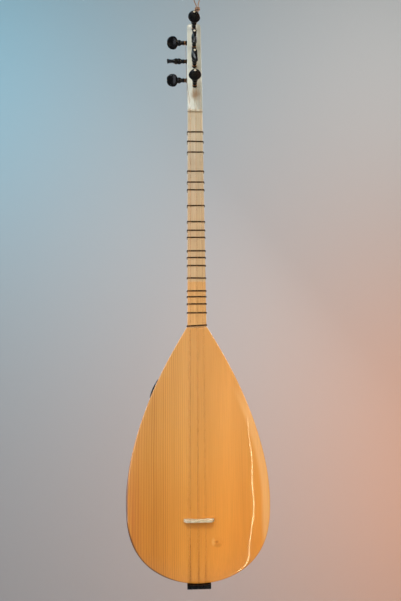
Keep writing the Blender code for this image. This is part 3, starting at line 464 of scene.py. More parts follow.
def bone_finish(name, light, dark):
    made, tree, shader = start_material(name)
    cloud = stretched_noise(tree, (240, 240, 420), 3.0)
    streaks = stretched_noise(tree, (90, 900, 900), 3.0)
    colour = ramp(tree, cloud, [(0.3, dark), (0.7, light)])
    tint = ramp(tree, streaks, [(0.36, (0.80, 0.74, 0.62)), (0.52, (1.0, 1.0, 1.0))])
    colour = mixed(tree, 0.8, colour, tint, "MULTIPLY")
    parts = add(tree, "ShaderNodeSeparateXYZ")
    tree.links.new(working_place(tree), parts.inputs["Vector"])
    warmer = between(tree, parts.outputs["Z"], -0.50, -0.60)
    colour = mixed(tree, warmer, colour, mixed(tree, 1.0, colour, (1.0, 0.94, 0.86), "MULTIPLY"))
    tree.links.new(colour, shader.inputs["Base Color"])
    rough_between(tree, shader, cloud, 0.30, 0.48)
    shader.inputs["Subsurface Weight"].default_value = 0.08
    shader.inputs["Subsurface Radius"].default_value = (0.002, 0.0015, 0.001)
    bump(tree, shader, cloud, 0.00008, 0.4)
    return made


def black_finish():
    made, tree, shader = start_material("black_lacquer")
    marks = stretched_noise(tree, (260, 260, 260), 4.0)
    scuffs = stretched_noise(tree, (900, 900, 900), 2.0)
    colour = ramp(tree, marks, [(0.3, (0.0020, 0.0022, 0.0030)), (0.75, (0.0058, 0.0056, 0.0062))])
    tint = ramp(tree, scuffs, [(0.66, (0.0, 0.0, 0.0)), (0.80, (0.012, 0.011, 0.010))])
    tree.links.new(mixed(tree, 1.0, colour, tint, "ADD"), shader.inputs["Base Color"])
    rough_between(tree, shader, marks, 0.20, 0.36)
    shader.inputs["Specular IOR Level"].default_value = 0.18
    bump(tree, shader, marks, 0.00006, 0.3)
    return made


def thread_finish():
    made, tree, shader = start_material("dark_thread")
    twist = stretched_noise(tree, (1600, 1600, 4200), 2.0)
    colour = ramp(tree, twist, [(0.3, (0.012, 0.005, 0.001)), (0.7, (0.046, 0.021, 0.005))])
    tree.links.new(colour, shader.inputs["Base Color"])
    rough_between(tree, shader, twist, 0.50, 0.75)
    shader.inputs["Specular IOR Level"].default_value = 0.15
    bump(tree, shader, twist, 0.00008)
    return made


def wire_finish(name, dark, light):
    made, tree, shader = start_material(name)
    drawn = stretched_noise(tree, (3000, 3000, 90), 3.0)
    tree.links.new(ramp(tree, drawn, [(0.3, dark), (0.7, light)]), shader.inputs["Base Color"])
    rough_between(tree, shader, drawn, 0.20, 0.40)
    shader.inputs["Metallic"].default_value = 1.0
    return made


def cord_finish():
    made, tree, shader = start_material("brown_cord")
    fluff = stretched_noise(tree, (2600, 2600, 2600), 3.0)
    broad = stretched_noise(tree, (120, 120, 120), 2.0)
    colour = ramp(tree, fluff, [(0.3, (0.16, 0.085, 0.045)), (0.7, (0.46, 0.29, 0.18))])
    tint = ramp(tree, broad, [(0.3, (0.80, 0.78, 0.76)), (0.7, (1.15, 1.12, 1.10))])
    tree.links.new(mixed(tree, 1.0, colour, tint, "MULTIPLY"), shader.inputs["Base Color"])
    rough_between(tree, shader, fluff, 0.75, 0.95)
    shader.inputs["Sheen Weight"].default_value = 0.3
    bump(tree, shader, fluff, 0.0002)
    return made


bone = bone_finish("bone", (0.67, 0.60, 0.455), (0.545, 0.47, 0.32))
black = black_finish()
thread = thread_finish()
steel = wire_finish("string_steel", (0.31, 0.127, 0.045), (0.57, 0.27, 0.105))
brown_cord = cord_finish()

# %% Give every solid its finish
FINISH_OF = {
    "soundboard": spruce, "stave": bowl_wood, "neck_block": block_wood, "tail_block": block_wood,
    "neck": neck_wood, "head": head_wood, "nut": bone, "bridge": bone, "string_holder": black,
    "sound_hole_ring": black, "front_peg": black, "side_peg": black, "string": steel,
    "fret": thread, "hanging_cord": brown_cord, "cord_knot": brown_cord,
}


def finish_for(node):
    """The finish under the longest name that the node's name starts with."""
    return FINISH_OF[max((key for key in FINISH_OF if node.startswith(key)), key=len)]


for name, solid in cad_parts.items():
    solid.data.materials.clear()
    solid.data.materials.append(finish_for(name))
print("finished nodes:", len(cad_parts))

# %% [markdown]
# The hanging cord goes through a hole near the top of the head. Both strands are drawn together
# by a knot, and the loop above it, outside the photograph, hangs on a nail. A limp cord under
# load runs straight, so its route is a short list of given points, with a round bend of
# more than two cord's widths wherever it turns. A spline drawn towards the points has no kinks.

# %% The cord's route
HEAD_THICKNESS = 0.022
CORD_DIAMETER = 0.0024
CORD_STEPS = 16
CORD_HOLE_STATION = 0.2030
CORD_BEND_RADIUS = 0.0056
KNOT_CENTRE = Vector((0.0078, 0.0022, 0.2470))
KNOT_STRAND_SPACING = 0.0030
KNOT_STRAIGHT_REACH = 0.006
CORD_UP = (
    (0.0001, -0.0058, 0.2116), (0.0009, -0.0055, 0.2165),
    (0.0028, -0.0040, 0.2250), (0.0052, -0.0016, 0.2340),
)
CORD_TO_LOOP = ((0.0050, 0.0018, 0.2590), (0.0026, 0.0012, 0.2640), (0.0009, 0.0004, 0.2690))
LOOP_CENTRE = Vector((0.0065, -0.0004, 0.2735))
LOOP_RADIUS = 0.0059
CORD_FROM_LOOP = ((0.0121, 0.0004, 0.2690), (0.0110, 0.0012, 0.2640), (0.0098, 0.0018, 0.2590))
CORD_DOWN = (
    (0.0090, 0.0056, 0.2340), (0.0072, 0.0122, 0.2268), (0.0040, 0.0194, 0.2208),
    (0.0014, 0.0246, 0.2164), (0.0002, 0.0272, 0.2118),
)


def cord_bend(face, outward):
    """The cord from inside its hole to where it has turned upwards, clear of the head's face."""
    bend = []
    for inside in (1.8, 0.9, 0.0):
        bend.append(Vector((0, face - outward * inside * CORD_BEND_RADIUS, CORD_HOLE_STATION)))
    for step in (1, 2, 3):
        angle = math.pi / 2 * step / 3
        away = face + outward * CORD_BEND_RADIUS * math.sin(angle)
        up = CORD_HOLE_STATION + CORD_BEND_RADIUS * (1 - math.cos(angle))
        bend.append(Vector((0, away, up)))
    return bend


def knot_strand(side):
    """The strand's straight run up through the knot, on the left (-1) or the right (1)."""
    return [
        KNOT_CENTRE + Vector((side * KNOT_STRAND_SPACING / 2, 0, rise))
        for rise in (-KNOT_STRAIGHT_REACH, 0, KNOT_STRAIGHT_REACH)
    ]


def loop_bend():
    angles = [math.pi * k / 6 for k in range(7)]
    return [LOOP_CENTRE + LOOP_RADIUS * Vector((-math.cos(a), 0, math.sin(a))) for a in angles]


def smooth_route(points, steps):
    """Points on a smooth curve that is drawn towards every given point, as a limp cord lies."""
    ends = [2 * points[0] - points[1], *points, 2 * points[-1] - points[-2]]
    route = []
    for before, start, end, after in zip(ends, ends[1:], ends[2:], ends[3:]):
        for k in range(steps):
            t = k / steps
            pull_start = 3 * t**3 - 6 * t**2 + 4
            pull_end = 1 + 3 * t + 3 * t**2 - 3 * t**3
            blend = before * (1 - t) ** 3 + start * pull_start + end * pull_end + after * t**3
            route.append(blend / 6)
    return [*route, points[-1]]


cord_points = cord_bend(0, -1) + [Vector(point) for point in CORD_UP] + knot_strand(-1)
cord_points += [Vector(point) for point in CORD_TO_LOOP] + loop_bend()
cord_points += [Vector(point) for point in CORD_FROM_LOOP] + knot_strand(1)[::-1]
cord_points += [Vector(point) for point in CORD_DOWN] + cord_bend(HEAD_THICKNESS, 1)[::-1]
cord_route = [head_frame @ point for point in smooth_route(cord_points, CORD_STEPS)]

# %% [markdown]
# The cord is laid from three yarns. A plain tube with a painted twist looks smooth at its edge, so
# the twist is modelled: the tube's section has three lobes, and it turns as it goes along the
# route. A frame that is carried along the curve without spinning keeps the twist even.

# %% The cord and its knot
CORD_LAY = 0.0085
CORD_LOBE = 0.16
CORD_SIDES = 18


def only(obj):
    """Makes obj the only selected object, so that an operator acts on it alone."""
    bpy.ops.object.select_all(action="DESELECT")
    obj.select_set(True)
    bpy.context.view_layer.objects.active = obj


def carried_frames(points):
    """Two directions across the curve at every point, carried along without spinning."""
    tangents = []
    for i in range(len(points)):
        before, after = points[max(i - 1, 0)], points[min(i + 1, len(points) - 1)]
        tangents.append((after - before).normalized())
    side = tangents[0].orthogonal().normalized()
    frames = []
    for tangent in tangents:
        side = (side - tangent * side.dot(tangent)).normalized()
        frames.append((side, tangent.cross(side)))
    return frames


def laid_rings(points, diameter):
    """Lobed sections along a route, turned by one whole turn in every lay."""
    rings, gone = [], 0.0
    for i, (point, (side, other)) in enumerate(zip(points, carried_frames(points))):
        gone += (point - points[i - 1]).length if i else 0.0
        spin = 2 * math.pi * gone / CORD_LAY
        ring = []
        for k in range(CORD_SIDES):
            angle = 2 * math.pi * k / CORD_SIDES
            reach = diameter / 2 * (1 - CORD_LOBE * (1 - abs(math.cos(1.5 * (angle - spin)))))
            ring.append(point + reach * (math.cos(angle) * side + math.sin(angle) * other))
        rings.append(ring)
    return rings


def pull_through(name, rings, finish, matrix=None):
    """A closed solid: a filled circle set on the first ring, whose face is pulled out ring by ring."""
    bpy.ops.object.select_all(action="DESELECT")
    bpy.ops.mesh.primitive_circle_add(vertices=len(rings[0]), fill_type="NGON")
    obj = bpy.context.object
    obj.name = obj.data.name = name
    obj.matrix_world = Matrix.Identity(4)
    for vertex, point in zip(obj.data.vertices, rings[0]):
        vertex.co = point
    only(obj)
    bpy.ops.object.mode_set(mode="EDIT")
    bpy.ops.mesh.select_mode(type="FACE")
    bpy.ops.mesh.select_all(action="SELECT")
    count = len(rings[0])
    for before, after in zip(rings, rings[1:]):
        bpy.ops.mesh.extrude_region_move()
        shape = bmesh.from_edit_mesh(obj.data)
        face = next(face for face in shape.faces if face.select)
        corners = [loop.vert for loop in face.loops]
        first = min(range(count), key=lambda k: (before[k] - corners[0].co).length_squared)
        step = 1 if (before[(first + 1) % count] - corners[1].co).length < 1e-7 else -1
        for k, corner in enumerate(corners):
            corner.co = after[(first + step * k) % count]
        bmesh.update_edit_mesh(obj.data)
    bpy.ops.mesh.select_all(action="SELECT")
    bpy.ops.mesh.normals_make_consistent(inside=False)
    bpy.ops.object.mode_set(mode="OBJECT")
    if matrix is not None:
        obj.data.transform(matrix)
    obj.data.materials.clear()
    obj.data.materials.append(finish)
    return obj


def smooth(obj, degrees=35):
    only(obj)
    bpy.ops.object.shade_smooth_by_angle(angle=math.radians(degrees))


def stand_for(piece, node, body):
    """The piece takes the place of a measured solid and moves with its body."""
    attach(piece, body)
    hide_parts(node)


cord = pull_through("cord", laid_rings(cord_route, CORD_DIAMETER), brown_cord)
smooth(cord, 60)

KNOT_POINTS, KNOT_LOOPS, KNOT_PITCH = 48, 2, 0.0029
across = KNOT_STRAND_SPACING / 2 + CORD_DIAMETER + 0.0006
deep = CORD_DIAMETER + 0.0006
knot_points = []
for k in range(KNOT_LOOPS * KNOT_POINTS + 1):
    angle = 2 * math.pi * k / KNOT_POINTS + math.pi / 2
    up = KNOT_PITCH * (k / KNOT_POINTS - KNOT_LOOPS / 2)
    knot_points.append(KNOT_CENTRE + Vector((across * math.cos(angle), deep * math.sin(angle), up)))
knot_rings = laid_rings([head_frame @ point for point in knot_points], CORD_DIAMETER)
knot = pull_through("knot", knot_rings, brown_cord)
smooth(knot, 60)

stand_for(cord, "hanging_cord", "lute")
stand_for(knot, "cord_knot", "lute")
print("cord and knot:", len(cord.data.polygons), len(knot.data.polygons), "faces")

# %% [markdown]
# The body's surface is written once, as a few short functions of the distance below the neck, and
# the soundboard, the staves, the blocks and the cutter for the string holder all take their points
# from it. That is how a mould works for the real bowl, and it is why the pieces meet.

# %% The body's surface
CLEARANCE = 0.0003
SCALE_LENGTH = 0.730
NECK_LENGTH = 0.4065
BODY_LENGTH, BODY_WIDTH, BOWL_DEPTH = 0.4255, 0.2445, 0.142
WIDEST_STATION, THROAT_WIDTH, THROAT_DEPTH = 0.288, 0.036, 0.024
SHOULDER_CURVE, BACK_CURVE, TAIL_CURVE = 1.74, 1.8, 2.85
BOARD_THICKNESS, EDGE_DROP, EDGE_ROLL = 0.0035, 0.0045, 2.5
BOARD_END_ANGLE = math.radians(88.5)
STAVE_COUNT, STAVE_THICKNESS, STAVE_START = 13, 0.003, 0.026
STAVE_END_ANGLE = math.radians(83)


def part_way(start, end, share):
    return start + (end - start) * share


def tail_share(d):
    return (d - WIDEST_STATION) / (BODY_LENGTH - WIDEST_STATION)


def half_width(d):
    if d <= WIDEST_STATION:
        share = (WIDEST_STATION - d) / WIDEST_STATION
        return (BODY_WIDTH - (BODY_WIDTH - THROAT_WIDTH) * share**SHOULDER_CURVE) / 2
    return BODY_WIDTH / 2 * math.sqrt(max(0.0, 1 - tail_share(d) ** TAIL_CURVE))


def bowl_depth(d):
    if d <= WIDEST_STATION:
        share = (WIDEST_STATION - d) / WIDEST_STATION
        return BOWL_DEPTH - (BOWL_DEPTH - THROAT_DEPTH) * share**BACK_CURVE
    return BOWL_DEPTH * math.sqrt(max(0.0, 1 - tail_share(d) ** TAIL_CURVE))


def tail_station(angle):
    """The distance at which the outline has turned by angle from the widest place."""
    share = math.sin(angle) ** (2 / TAIL_CURVE)
    return WIDEST_STATION + (BODY_LENGTH - WIDEST_STATION) * share


def board_face(x, d):
    """How far the soundboard's arched face lies behind the neck's face."""
    if d <= WIDEST_STATION:
        edge = (x / half_width(d)) ** 2
        fall = EDGE_DROP * (2 * half_width(d) / BODY_WIDTH) ** 2
    else:
        edge = (2 * x / BODY_WIDTH) ** 2 + tail_share(d) ** TAIL_CURVE
        fall = EDGE_DROP
    return fall * edge**EDGE_ROLL


def board_back(x, d):
    return board_face(x, d) + BOARD_THICKNESS


def bowl_point(d, angle):
    """A point of the bowl's outside: angle 0 is the left rim, and half a turn the right rim."""
    rim = board_back(half_width(d), d) + CLEARANCE
    across = -half_width(d) * math.cos(angle)
    return Vector((across, rim + bowl_depth(d) * math.sin(angle), -NECK_LENGTH - d))


def bowl_normal(d, angle):
    step = 1e-5
    across = bowl_point(d, angle + step) - bowl_point(d, angle - step)
    along = bowl_point(d + step, angle) - bowl_point(d - step, angle)
    return across.cross(along).normalized()


def bowl_inset(d, angle, inset):
    """The bowl's surface moved inwards by inset, or outwards if it is negative."""
    return bowl_point(d, angle) - bowl_normal(d, angle) * inset


print("widest half width in mm:", round(half_width(WIDEST_STATION) * 1000, 2))

# %% [markdown]
# The soundboard is a thin board, a little arched, whose edge is rounded over by hand. It starts as
# a small filled outline in the middle and is pulled out ring by ring to the rim, round the edge
# and back underneath. A plain grid would crowd its points where the tail closes, and the lacquer
# would show it. The maker's scraper leaves the face very slightly uneven, which is what makes the
# bright reflection along the right side waver.

# %% The soundboard
SIDE_POINTS, THROAT_POINTS = 120, 8
EDGE_ROUNDING = 0.0015
BOARD_MIDDLE = 0.245
UNEVEN = 0.00006


def evenly(points, count):
    """count points at even distances along a line through points, without its last point."""
    lengths = [0.0]
    for a, b in zip(points, points[1:]):
        lengths.append(lengths[-1] + (b - a).length)
    spread, i = [], 0
    for k in range(count):
        goal = lengths[-1] * k / count
        while lengths[i + 1] < goal:
            i += 1
        share = (goal - lengths[i]) / (lengths[i + 1] - lengths[i])
        spread.append(part_way(points[i], points[i + 1], share))
    return spread


def board_outline():
    """The rim as (x, d) points, from the right of the throat round the tail and back."""
    stations = [part_way(CLEARANCE, WIDEST_STATION, k / 300) for k in range(300)]
    stations += [tail_station(math.pi / 2 * k / 300) for k in range(301)]
    right = [Vector((half_width(d), d)) for d in stations]
    left = [Vector((-point.x, point.y)) for point in right[::-1]]
    throat = [left[-1], right[0]]
    return evenly(right, SIDE_POINTS) + evenly(left, SIDE_POINTS) + evenly(throat, THROAT_POINTS)


def board_point(flat, depth=None):
    x, d = flat.x, max(flat.y, CLEARANCE)
    uneven = math.sin(74 * d + 60 * x) + 0.6 * math.sin(170 * d - 45 * x)
    y = board_face(x, d) + UNEVEN * uneven if depth is None else depth
    return Vector((x, y, -NECK_LENGTH - d))


outline = board_outline()
count = len(outline)
inward = []
for k in range(count):
    along = outline[(k + 1) % count] - outline[k - 1]
    inward.append(Vector((-along.y, along.x)).normalized())
if (Vector((0, BOARD_MIDDLE)) - outline[0]).dot(inward[0]) < 0:
    inward = [-direction for direction in inward]
middle = Vector((0, BOARD_MIDDLE))
top_edge = [point + direction * EDGE_ROUNDING for point, direction in zip(outline, inward)]
board_rings = []
for share in (0.02, 0.10, 0.20, 0.31, 0.42, 0.52, 0.61, 0.69, 0.76, 0.81, 0.85, 0.885, 0.915,
              0.94, 0.96, 0.975, 0.988, 1.0):
    board_rings.append([board_point(part_way(middle, point, share)) for point in top_edge])
for degrees in (20, 40, 60, 80):
    turn = math.radians(degrees)
    ring = []
    for point, direction in zip(outline, inward):
        flat = point + direction * EDGE_ROUNDING * (1 - math.sin(turn))
        place = board_point(flat)
        place.y += EDGE_ROUNDING * (1 - math.cos(turn))
        ring.append(place)
    board_rings.append(ring)
for share, lift in ((0.0, 0.0004), (0.0003, 0.0), (0.004, 0.0)):
    ring = []
    for point, direction in zip(outline, inward):
        flat = point + direction * share
        ring.append(board_point(flat, board_back(flat.x, max(flat.y, CLEARANCE)) - lift))
    board_rings.append(ring)
for share in (0.8, 0.5, 0.02):
    ring = []
    for point in outline:
        flat = part_way(middle, point, share)
        ring.append(board_point(flat, board_back(flat.x, max(flat.y, CLEARANCE))))
    board_rings.append(ring)
soundboard = pull_through("soundboard_face", board_rings, spruce, neck_frame)
smooth(soundboard, 50)
stand_for(soundboard, "soundboard", "lute")
print("soundboard faces:", len(soundboard.data.polygons))

# %% [markdown]
# The bowl is thirteen staves, each bent over the mould and tapered to both ends. A stave starts as
# a flat grid. Each of its points is laid on the mould's surface, Solidify gives it three
# millimetres of wood inwards, and a small bevel leaves the fine line where two staves meet. The
# grid's own UV map then runs along the stave, which the grain needs.

# %% The staves
STAVE_GAP = 0.00006
STAVE_ACROSS, STAVE_ALONG = 5, 64
SHOULDER_SHARE = 0.62
STAVE_PLANK_STEP = 0.37


def stave_station(share):
    """The distance below the neck at a share of the stave's length."""
    if share <= SHOULDER_SHARE:
        return part_way(STAVE_START, WIDEST_STATION, share / SHOULDER_SHARE)
    return tail_station(STAVE_END_ANGLE * (share - SHOULDER_SHARE) / (1 - SHOULDER_SHARE))


def apply_all(obj):
    only(obj)
    for step in list(obj.modifiers):
        bpy.ops.object.modifier_apply(modifier=step.name)


def bevelled(obj, width, segments=2, degrees=35):
    step = obj.modifiers.new("bevel", "BEVEL")
    step.width = width
    step.segments = segments
    step.limit_method = "ANGLE"
    step.angle_limit = math.radians(degrees)
    step.harden_normals = False


def make_stave(number):
    turn = math.pi / STAVE_COUNT
    first, last = (number - 1) * turn, number * turn
    bpy.ops.object.select_all(action="DESELECT")
    bpy.ops.mesh.primitive_grid_add(x_subdivisions=STAVE_ACROSS, y_subdivisions=STAVE_ALONG, size=2)
    stave = bpy.context.object
    stave.name = stave.data.name = f"bowl_stave_{number:02d}"
    for vertex in stave.data.vertices:
        across, along = (vertex.co.x + 1) / 2, (vertex.co.y + 1) / 2
        d = stave_station(along)
        pace = math.hypot(half_width(d) * math.sin(first), bowl_depth(d) * math.cos(first))
        left = first if number == 1 else first + STAVE_GAP / pace
        right = last if number == STAVE_COUNT else last - STAVE_GAP / pace
        vertex.co = bowl_point(d, part_way(left, right, across))
    facing = stave.data.polygons[0].normal.dot(bowl_normal(STAVE_START, part_way(first, last, 0.5)))
    if facing < 0:
        stave.data.flip_normals()
    for corner in stave.data.uv_layers[0].data:
        u, v = corner.uv
        corner.uv = (u * 0.03 + number * STAVE_PLANK_STEP, v * 0.42)
    wall = stave.modifiers.new("wall", "SOLIDIFY")
    wall.thickness = STAVE_THICKNESS
    wall.offset = -1
    bevelled(stave, 0.00022)
    apply_all(stave)
    stave.data.transform(neck_frame)
    stave.data.materials.clear()
    stave.data.materials.append(bowl_wood)
    smooth(stave, 50)
    stand_for(stave, f"stave_{number:02d}", "lute")
    return stave


staves = [make_stave(number) for number in range(1, STAVE_COUNT + 1)]
print("staves:", len(staves), "faces each:", len(staves[0].data.polygons))

# %% [markdown]
# The staves are glued to two blocks. The tail block can hardly be seen, so its measured solid
# stays. The neck block shows as the heel between the neck and the first bend of the staves, so
# it is drawn again with a round section. Its upper part is flush with the staves, and its lower
# part is set back by their thickness, which makes the rebate that they lie in.

# %% The neck block
NECK_BLOCK_LENGTH = 0.065
BLOCK_ARC_POINTS = 56


def block_ring(d, inset, lift=0.0):
    """The bowl's curve moved inwards, closed along the soundboard's back."""
    ring = []
    for k in range(BLOCK_ARC_POINTS + 1):
        ring.append(bowl_inset(d, math.pi * k / BLOCK_ARC_POINTS, inset) + Vector((0, 0, lift)))
    for end in (0, -1):
        ring[end].y = board_back(ring[end].x, -NECK_LENGTH - ring[end].z) + CLEARANCE
    for share in (0.25, 0.5, 0.75):
        x, z = part_way(ring[BLOCK_ARC_POINTS].x, ring[0].x, share), ring[0].z
        ring.append(Vector((x, board_back(x, -NECK_LENGTH - z) + CLEARANCE, z)))
    return ring


shoulder = STAVE_START - CLEARANCE
rebate = STAVE_THICKNESS + CLEARANCE
block_rings = [block_ring(CLEARANCE + 0.0002, 0.0002), block_ring(CLEARANCE + 0.0005, 0)]
block_rings += [block_ring(part_way(0.001, shoulder - 0.0003, k / 8), 0) for k in range(9)]
block_rings += [block_ring(shoulder, 0.0003), block_ring(shoulder, rebate)]
block_rings += [block_ring(part_way(shoulder, NECK_BLOCK_LENGTH, k / 4), rebate) for k in range(1, 5)]
neck_block = pull_through("heel", block_rings, block_wood, neck_frame)
smooth(neck_block, 40)
stand_for(neck_block, "neck_block", "lute")
print("heel faces:", len(neck_block.data.polygons))

# %% [markdown]
# The neck and the head are planed from one section: a flat face, two small rounded corners, short
# upright flanks and a round back. The head's back is nearly square, and its section changes over
# within a thumb's width of the nut. So one function gives the outline, and each piece is pulled
# through it ring by ring.

# %% The neck
NECK_WIDTHS, NECK_DEPTHS = (0.028, 0.034), (0.021, 0.027)
NECK_FLANK, NECK_EDGE = 0.006, 0.0012
ROUND_BACK, SQUARE_BACK = 2.0, 7.0
NUT_THICKNESS = 0.004
CORNER_STEPS, BACK_STEPS = 4, 24


def stick_outline(width, depth, flank, exponent, grow=0.0):
    """A flat-fronted outline with a rounded back, as (x, y) pairs, grown outwards by grow."""
    half, edge = width / 2, NECK_EDGE
    corner = []
    for k in range(CORNER_STEPS + 1):
        angle = math.pi / 2 * k / CORNER_STEPS
        across = half - edge + (edge + grow) * math.sin(angle)
        corner.append((across, edge - (edge + grow) * math.cos(angle)))
    back = []
    for k in range(BACK_STEPS + 1):
        angle = math.pi * k / BACK_STEPS
        across = math.copysign(abs(math.cos(angle)) ** (2 / exponent), math.cos(angle))
        deep = math.sin(angle) ** (2 / exponent)
        back.append(((half + grow) * across, flank + (depth - flank + grow) * deep))
    return [*corner, *back, *[(-x, y) for x, y in corner[::-1]]]


def neck_size(z):
    share = -z / NECK_LENGTH
    return part_way(*NECK_WIDTHS, share), part_way(*NECK_DEPTHS, share)


def neck_ring(z, grow=0.0):
    outline = stick_outline(*neck_size(z), NECK_FLANK, ROUND_BACK, grow)
    return [Vector((x, y, z)) for x, y in outline]


neck_top = NUT_THICKNESS + CLEARANCE
neck_rings = [neck_ring(neck_top, -0.0002)]
neck_rings += [neck_ring(part_way(neck_top - 0.0002, 0.0002 - NECK_LENGTH, k / 24)) for k in range(25)]
neck_rings.append(neck_ring(-NECK_LENGTH, -0.0002))
neck = pull_through("neck_stick", neck_rings, neck_wood, neck_frame)
smooth(neck, 40)
stand_for(neck, "neck", "lute")
print("neck faces:", len(neck.data.polygons))

# %% The head
HEAD_LENGTH, TIP_ROUNDING = 0.2095, 0.011
HEAD_WIDTHS, HEAD_FLANK, HEAD_SQUARE_FROM = (0.0285, 0.0272), 0.016, 0.026
PEG_FIRST_STATION, PEG_PITCH = 0.0582, 0.0230
PEG_SHAFT_RADIUS, PEG_HOLE_GAP, CORD_HOLE_RADIUS = 0.0034, 0.00035, 0.0017
PEG_TURNS = {
    "front_peg_1": 3, "side_peg_1": -24, "front_peg_2": 115, "side_peg_2": 46,
    "front_peg_3": 100, "side_peg_3": -47, "front_peg_4": -8,
}


def head_half_width(height):
    return part_way(*HEAD_WIDTHS, height / HEAD_LENGTH) / 2


def head_ring(height, narrower=0.0):
    width = 2 * (head_half_width(height) - narrower)
    inward = 0.35 * narrower
    depth, flank = HEAD_THICKNESS - 2 * inward, HEAD_FLANK - 2 * inward
    outline = stick_outline(width, depth, flank, SQUARE_BACK)
    return [Vector((x, inward + y, height)) for x, y in outline]


def peg_row(name):
    return list(PEG_TURNS).index(name)


def peg_seat(name):
    """Where the peg's axis leaves the head, in the head's frame."""
    height = PEG_FIRST_STATION + PEG_PITCH * peg_row(name) - (NUT_THICKNESS + 2 * CLEARANCE)
    if name.startswith("front"):
        return Vector((0, 0, height))
    return Vector((-head_half_width(height), HEAD_THICKNESS / 2, height))


def peg_outward(name):
    return Vector((0, -1, 0)) if name.startswith("front") else Vector((-1, 0, 0))


def peg_bore(name):
    return HEAD_THICKNESS if name.startswith("front") else 2 * head_half_width(peg_seat(name).z)


def cut(obj, tool, operation="DIFFERENCE"):
    """Cuts tool out of obj, or joins it on, and takes the tool away."""
    step = obj.modifiers.new("cut", "BOOLEAN")
    step.operation = operation
    step.solver = "EXACT"
    step.object = tool
    apply_all(obj)
    bpy.data.objects.remove(tool, do_unlink=True)


def drill(start, end, radius, frame_of, sides=32):
    """A round cutter from start to end, in the given frame."""
    start, end = frame_of @ start, frame_of @ end
    facing = (end - start).to_track_quat("Z", "Y").to_euler()
    bpy.ops.object.select_all(action="DESELECT")
    bpy.ops.mesh.primitive_cylinder_add(
        vertices=sides, radius=radius, depth=(end - start).length,
        location=(start + end) / 2, rotation=facing,
    )
    return bpy.context.object


foot = stick_outline(*neck_size(0), NECK_FLANK, ROUND_BACK)
foot = [Vector((x, y, y * math.tan(HEAD_LEAN))) for x, y in foot]
square = head_ring(HEAD_SQUARE_FROM)
head_rings = []
for k in range(9):
    eased = (k / 8) ** 2 * (3 - 2 * k / 8)
    ring = [part_way(a, b, eased) for a, b in zip(foot, square)]
    for point, a, b in zip(ring, foot, square):
        point.z = part_way(a.z, b.z, k / 8)
    head_rings.append(ring)
straight_end = HEAD_LENGTH - TIP_ROUNDING
head_rings += [head_ring(part_way(HEAD_SQUARE_FROM, straight_end, k / 16)) for k in range(1, 17)]
for degrees in (12, 24, 36, 47, 57, 66, 74, 80):
    turn = math.radians(degrees)
    height = HEAD_LENGTH - TIP_ROUNDING * (1 - math.sin(turn))
    head_rings.append(head_ring(height, TIP_ROUNDING * (1 - math.cos(turn))))
head = pull_through("head_stick", head_rings, head_wood, head_frame)
for name in PEG_TURNS:
    margin = peg_outward(name) * 0.004
    far = peg_seat(name) - peg_outward(name) * peg_bore(name) - margin
    cut(head, drill(peg_seat(name) + margin, far, PEG_SHAFT_RADIUS + PEG_HOLE_GAP, head_frame))
near = Vector((0, -0.004, CORD_HOLE_STATION))
far = Vector((0, HEAD_THICKNESS + 0.004, CORD_HOLE_STATION))
cut(head, drill(near, far, CORD_HOLE_RADIUS, head_frame))
smooth(head, 40)
stand_for(head, "head", "lute")
print("head faces:", len(head.data.polygons))

# %% [markdown]
# The sound hole is in the left side, where a player's arm leaves it free. A ring turned from black
# wood covers its edge. Its profile is a closed line that is spun round the hole's axis. The ring
# must lie on a bowl that curves two ways, so its foot starts too long and is cut by the bowl.

# %% The sound hole and its ring
RING_STATION, RING_SETBACK, SOUND_HOLE_RADIUS = 0.108, 0.023, 0.0145
RING_RADIUS, RING_HEIGHT, RING_BORE = 0.0215, 0.0016, 0.012
RING_STEPS = 72
ring_angle = math.asin(RING_SETBACK / bowl_depth(RING_STATION))
ring_centre = bowl_point(RING_STATION, ring_angle)
ring_normal = bowl_normal(RING_STATION, ring_angle)
ring_pace = math.hypot(
    half_width(RING_STATION) * math.sin(ring_angle), bowl_depth(RING_STATION) * math.cos(ring_angle)
)
ring_spread = 1.3 * SOUND_HOLE_RADIUS / ring_pace


def spun(name, profile, finish, matrix):
    """A closed line of (radius, height) points, spun once round the Z axis."""
    bpy.ops.object.select_all(action="DESELECT")
    bpy.ops.mesh.primitive_circle_add(vertices=len(profile), fill_type="NOTHING")
    obj = bpy.context.object
    obj.name = obj.data.name = name
    for vertex, (radius, height) in zip(obj.data.vertices, profile):
        vertex.co = (radius, 0, height)
    bpy.ops.object.mode_set(mode="EDIT")
    bpy.ops.mesh.select_all(action="SELECT")
    bpy.ops.mesh.spin(steps=RING_STEPS, angle=2 * math.pi, center=(0, 0, 0), axis=(0, 0, 1))
    bpy.ops.mesh.select_all(action="SELECT")
    bpy.ops.mesh.remove_doubles(threshold=1e-6)
    bpy.ops.mesh.normals_make_consistent(inside=False)
    bpy.ops.object.mode_set(mode="OBJECT")
    obj.data.transform(matrix)
    obj.data.materials.clear()
    obj.data.materials.append(finish)
    return obj


def bowl_core():
    """The bowl near the sound hole as a solid, grown by the clearance."""
    rings = []
    for k in range(33):
        d = part_way(0.055, 0.165, k / 32)
        arc = [bowl_inset(d, math.pi * j / 96, -CLEARANCE / 2) for j in range(97)]
        rings.append([Vector((arc[0].x, -0.03, arc[0].z)), *arc, Vector((arc[-1].x, -0.03, arc[-1].z))])
    return pull_through("core", rings, black, neck_frame)


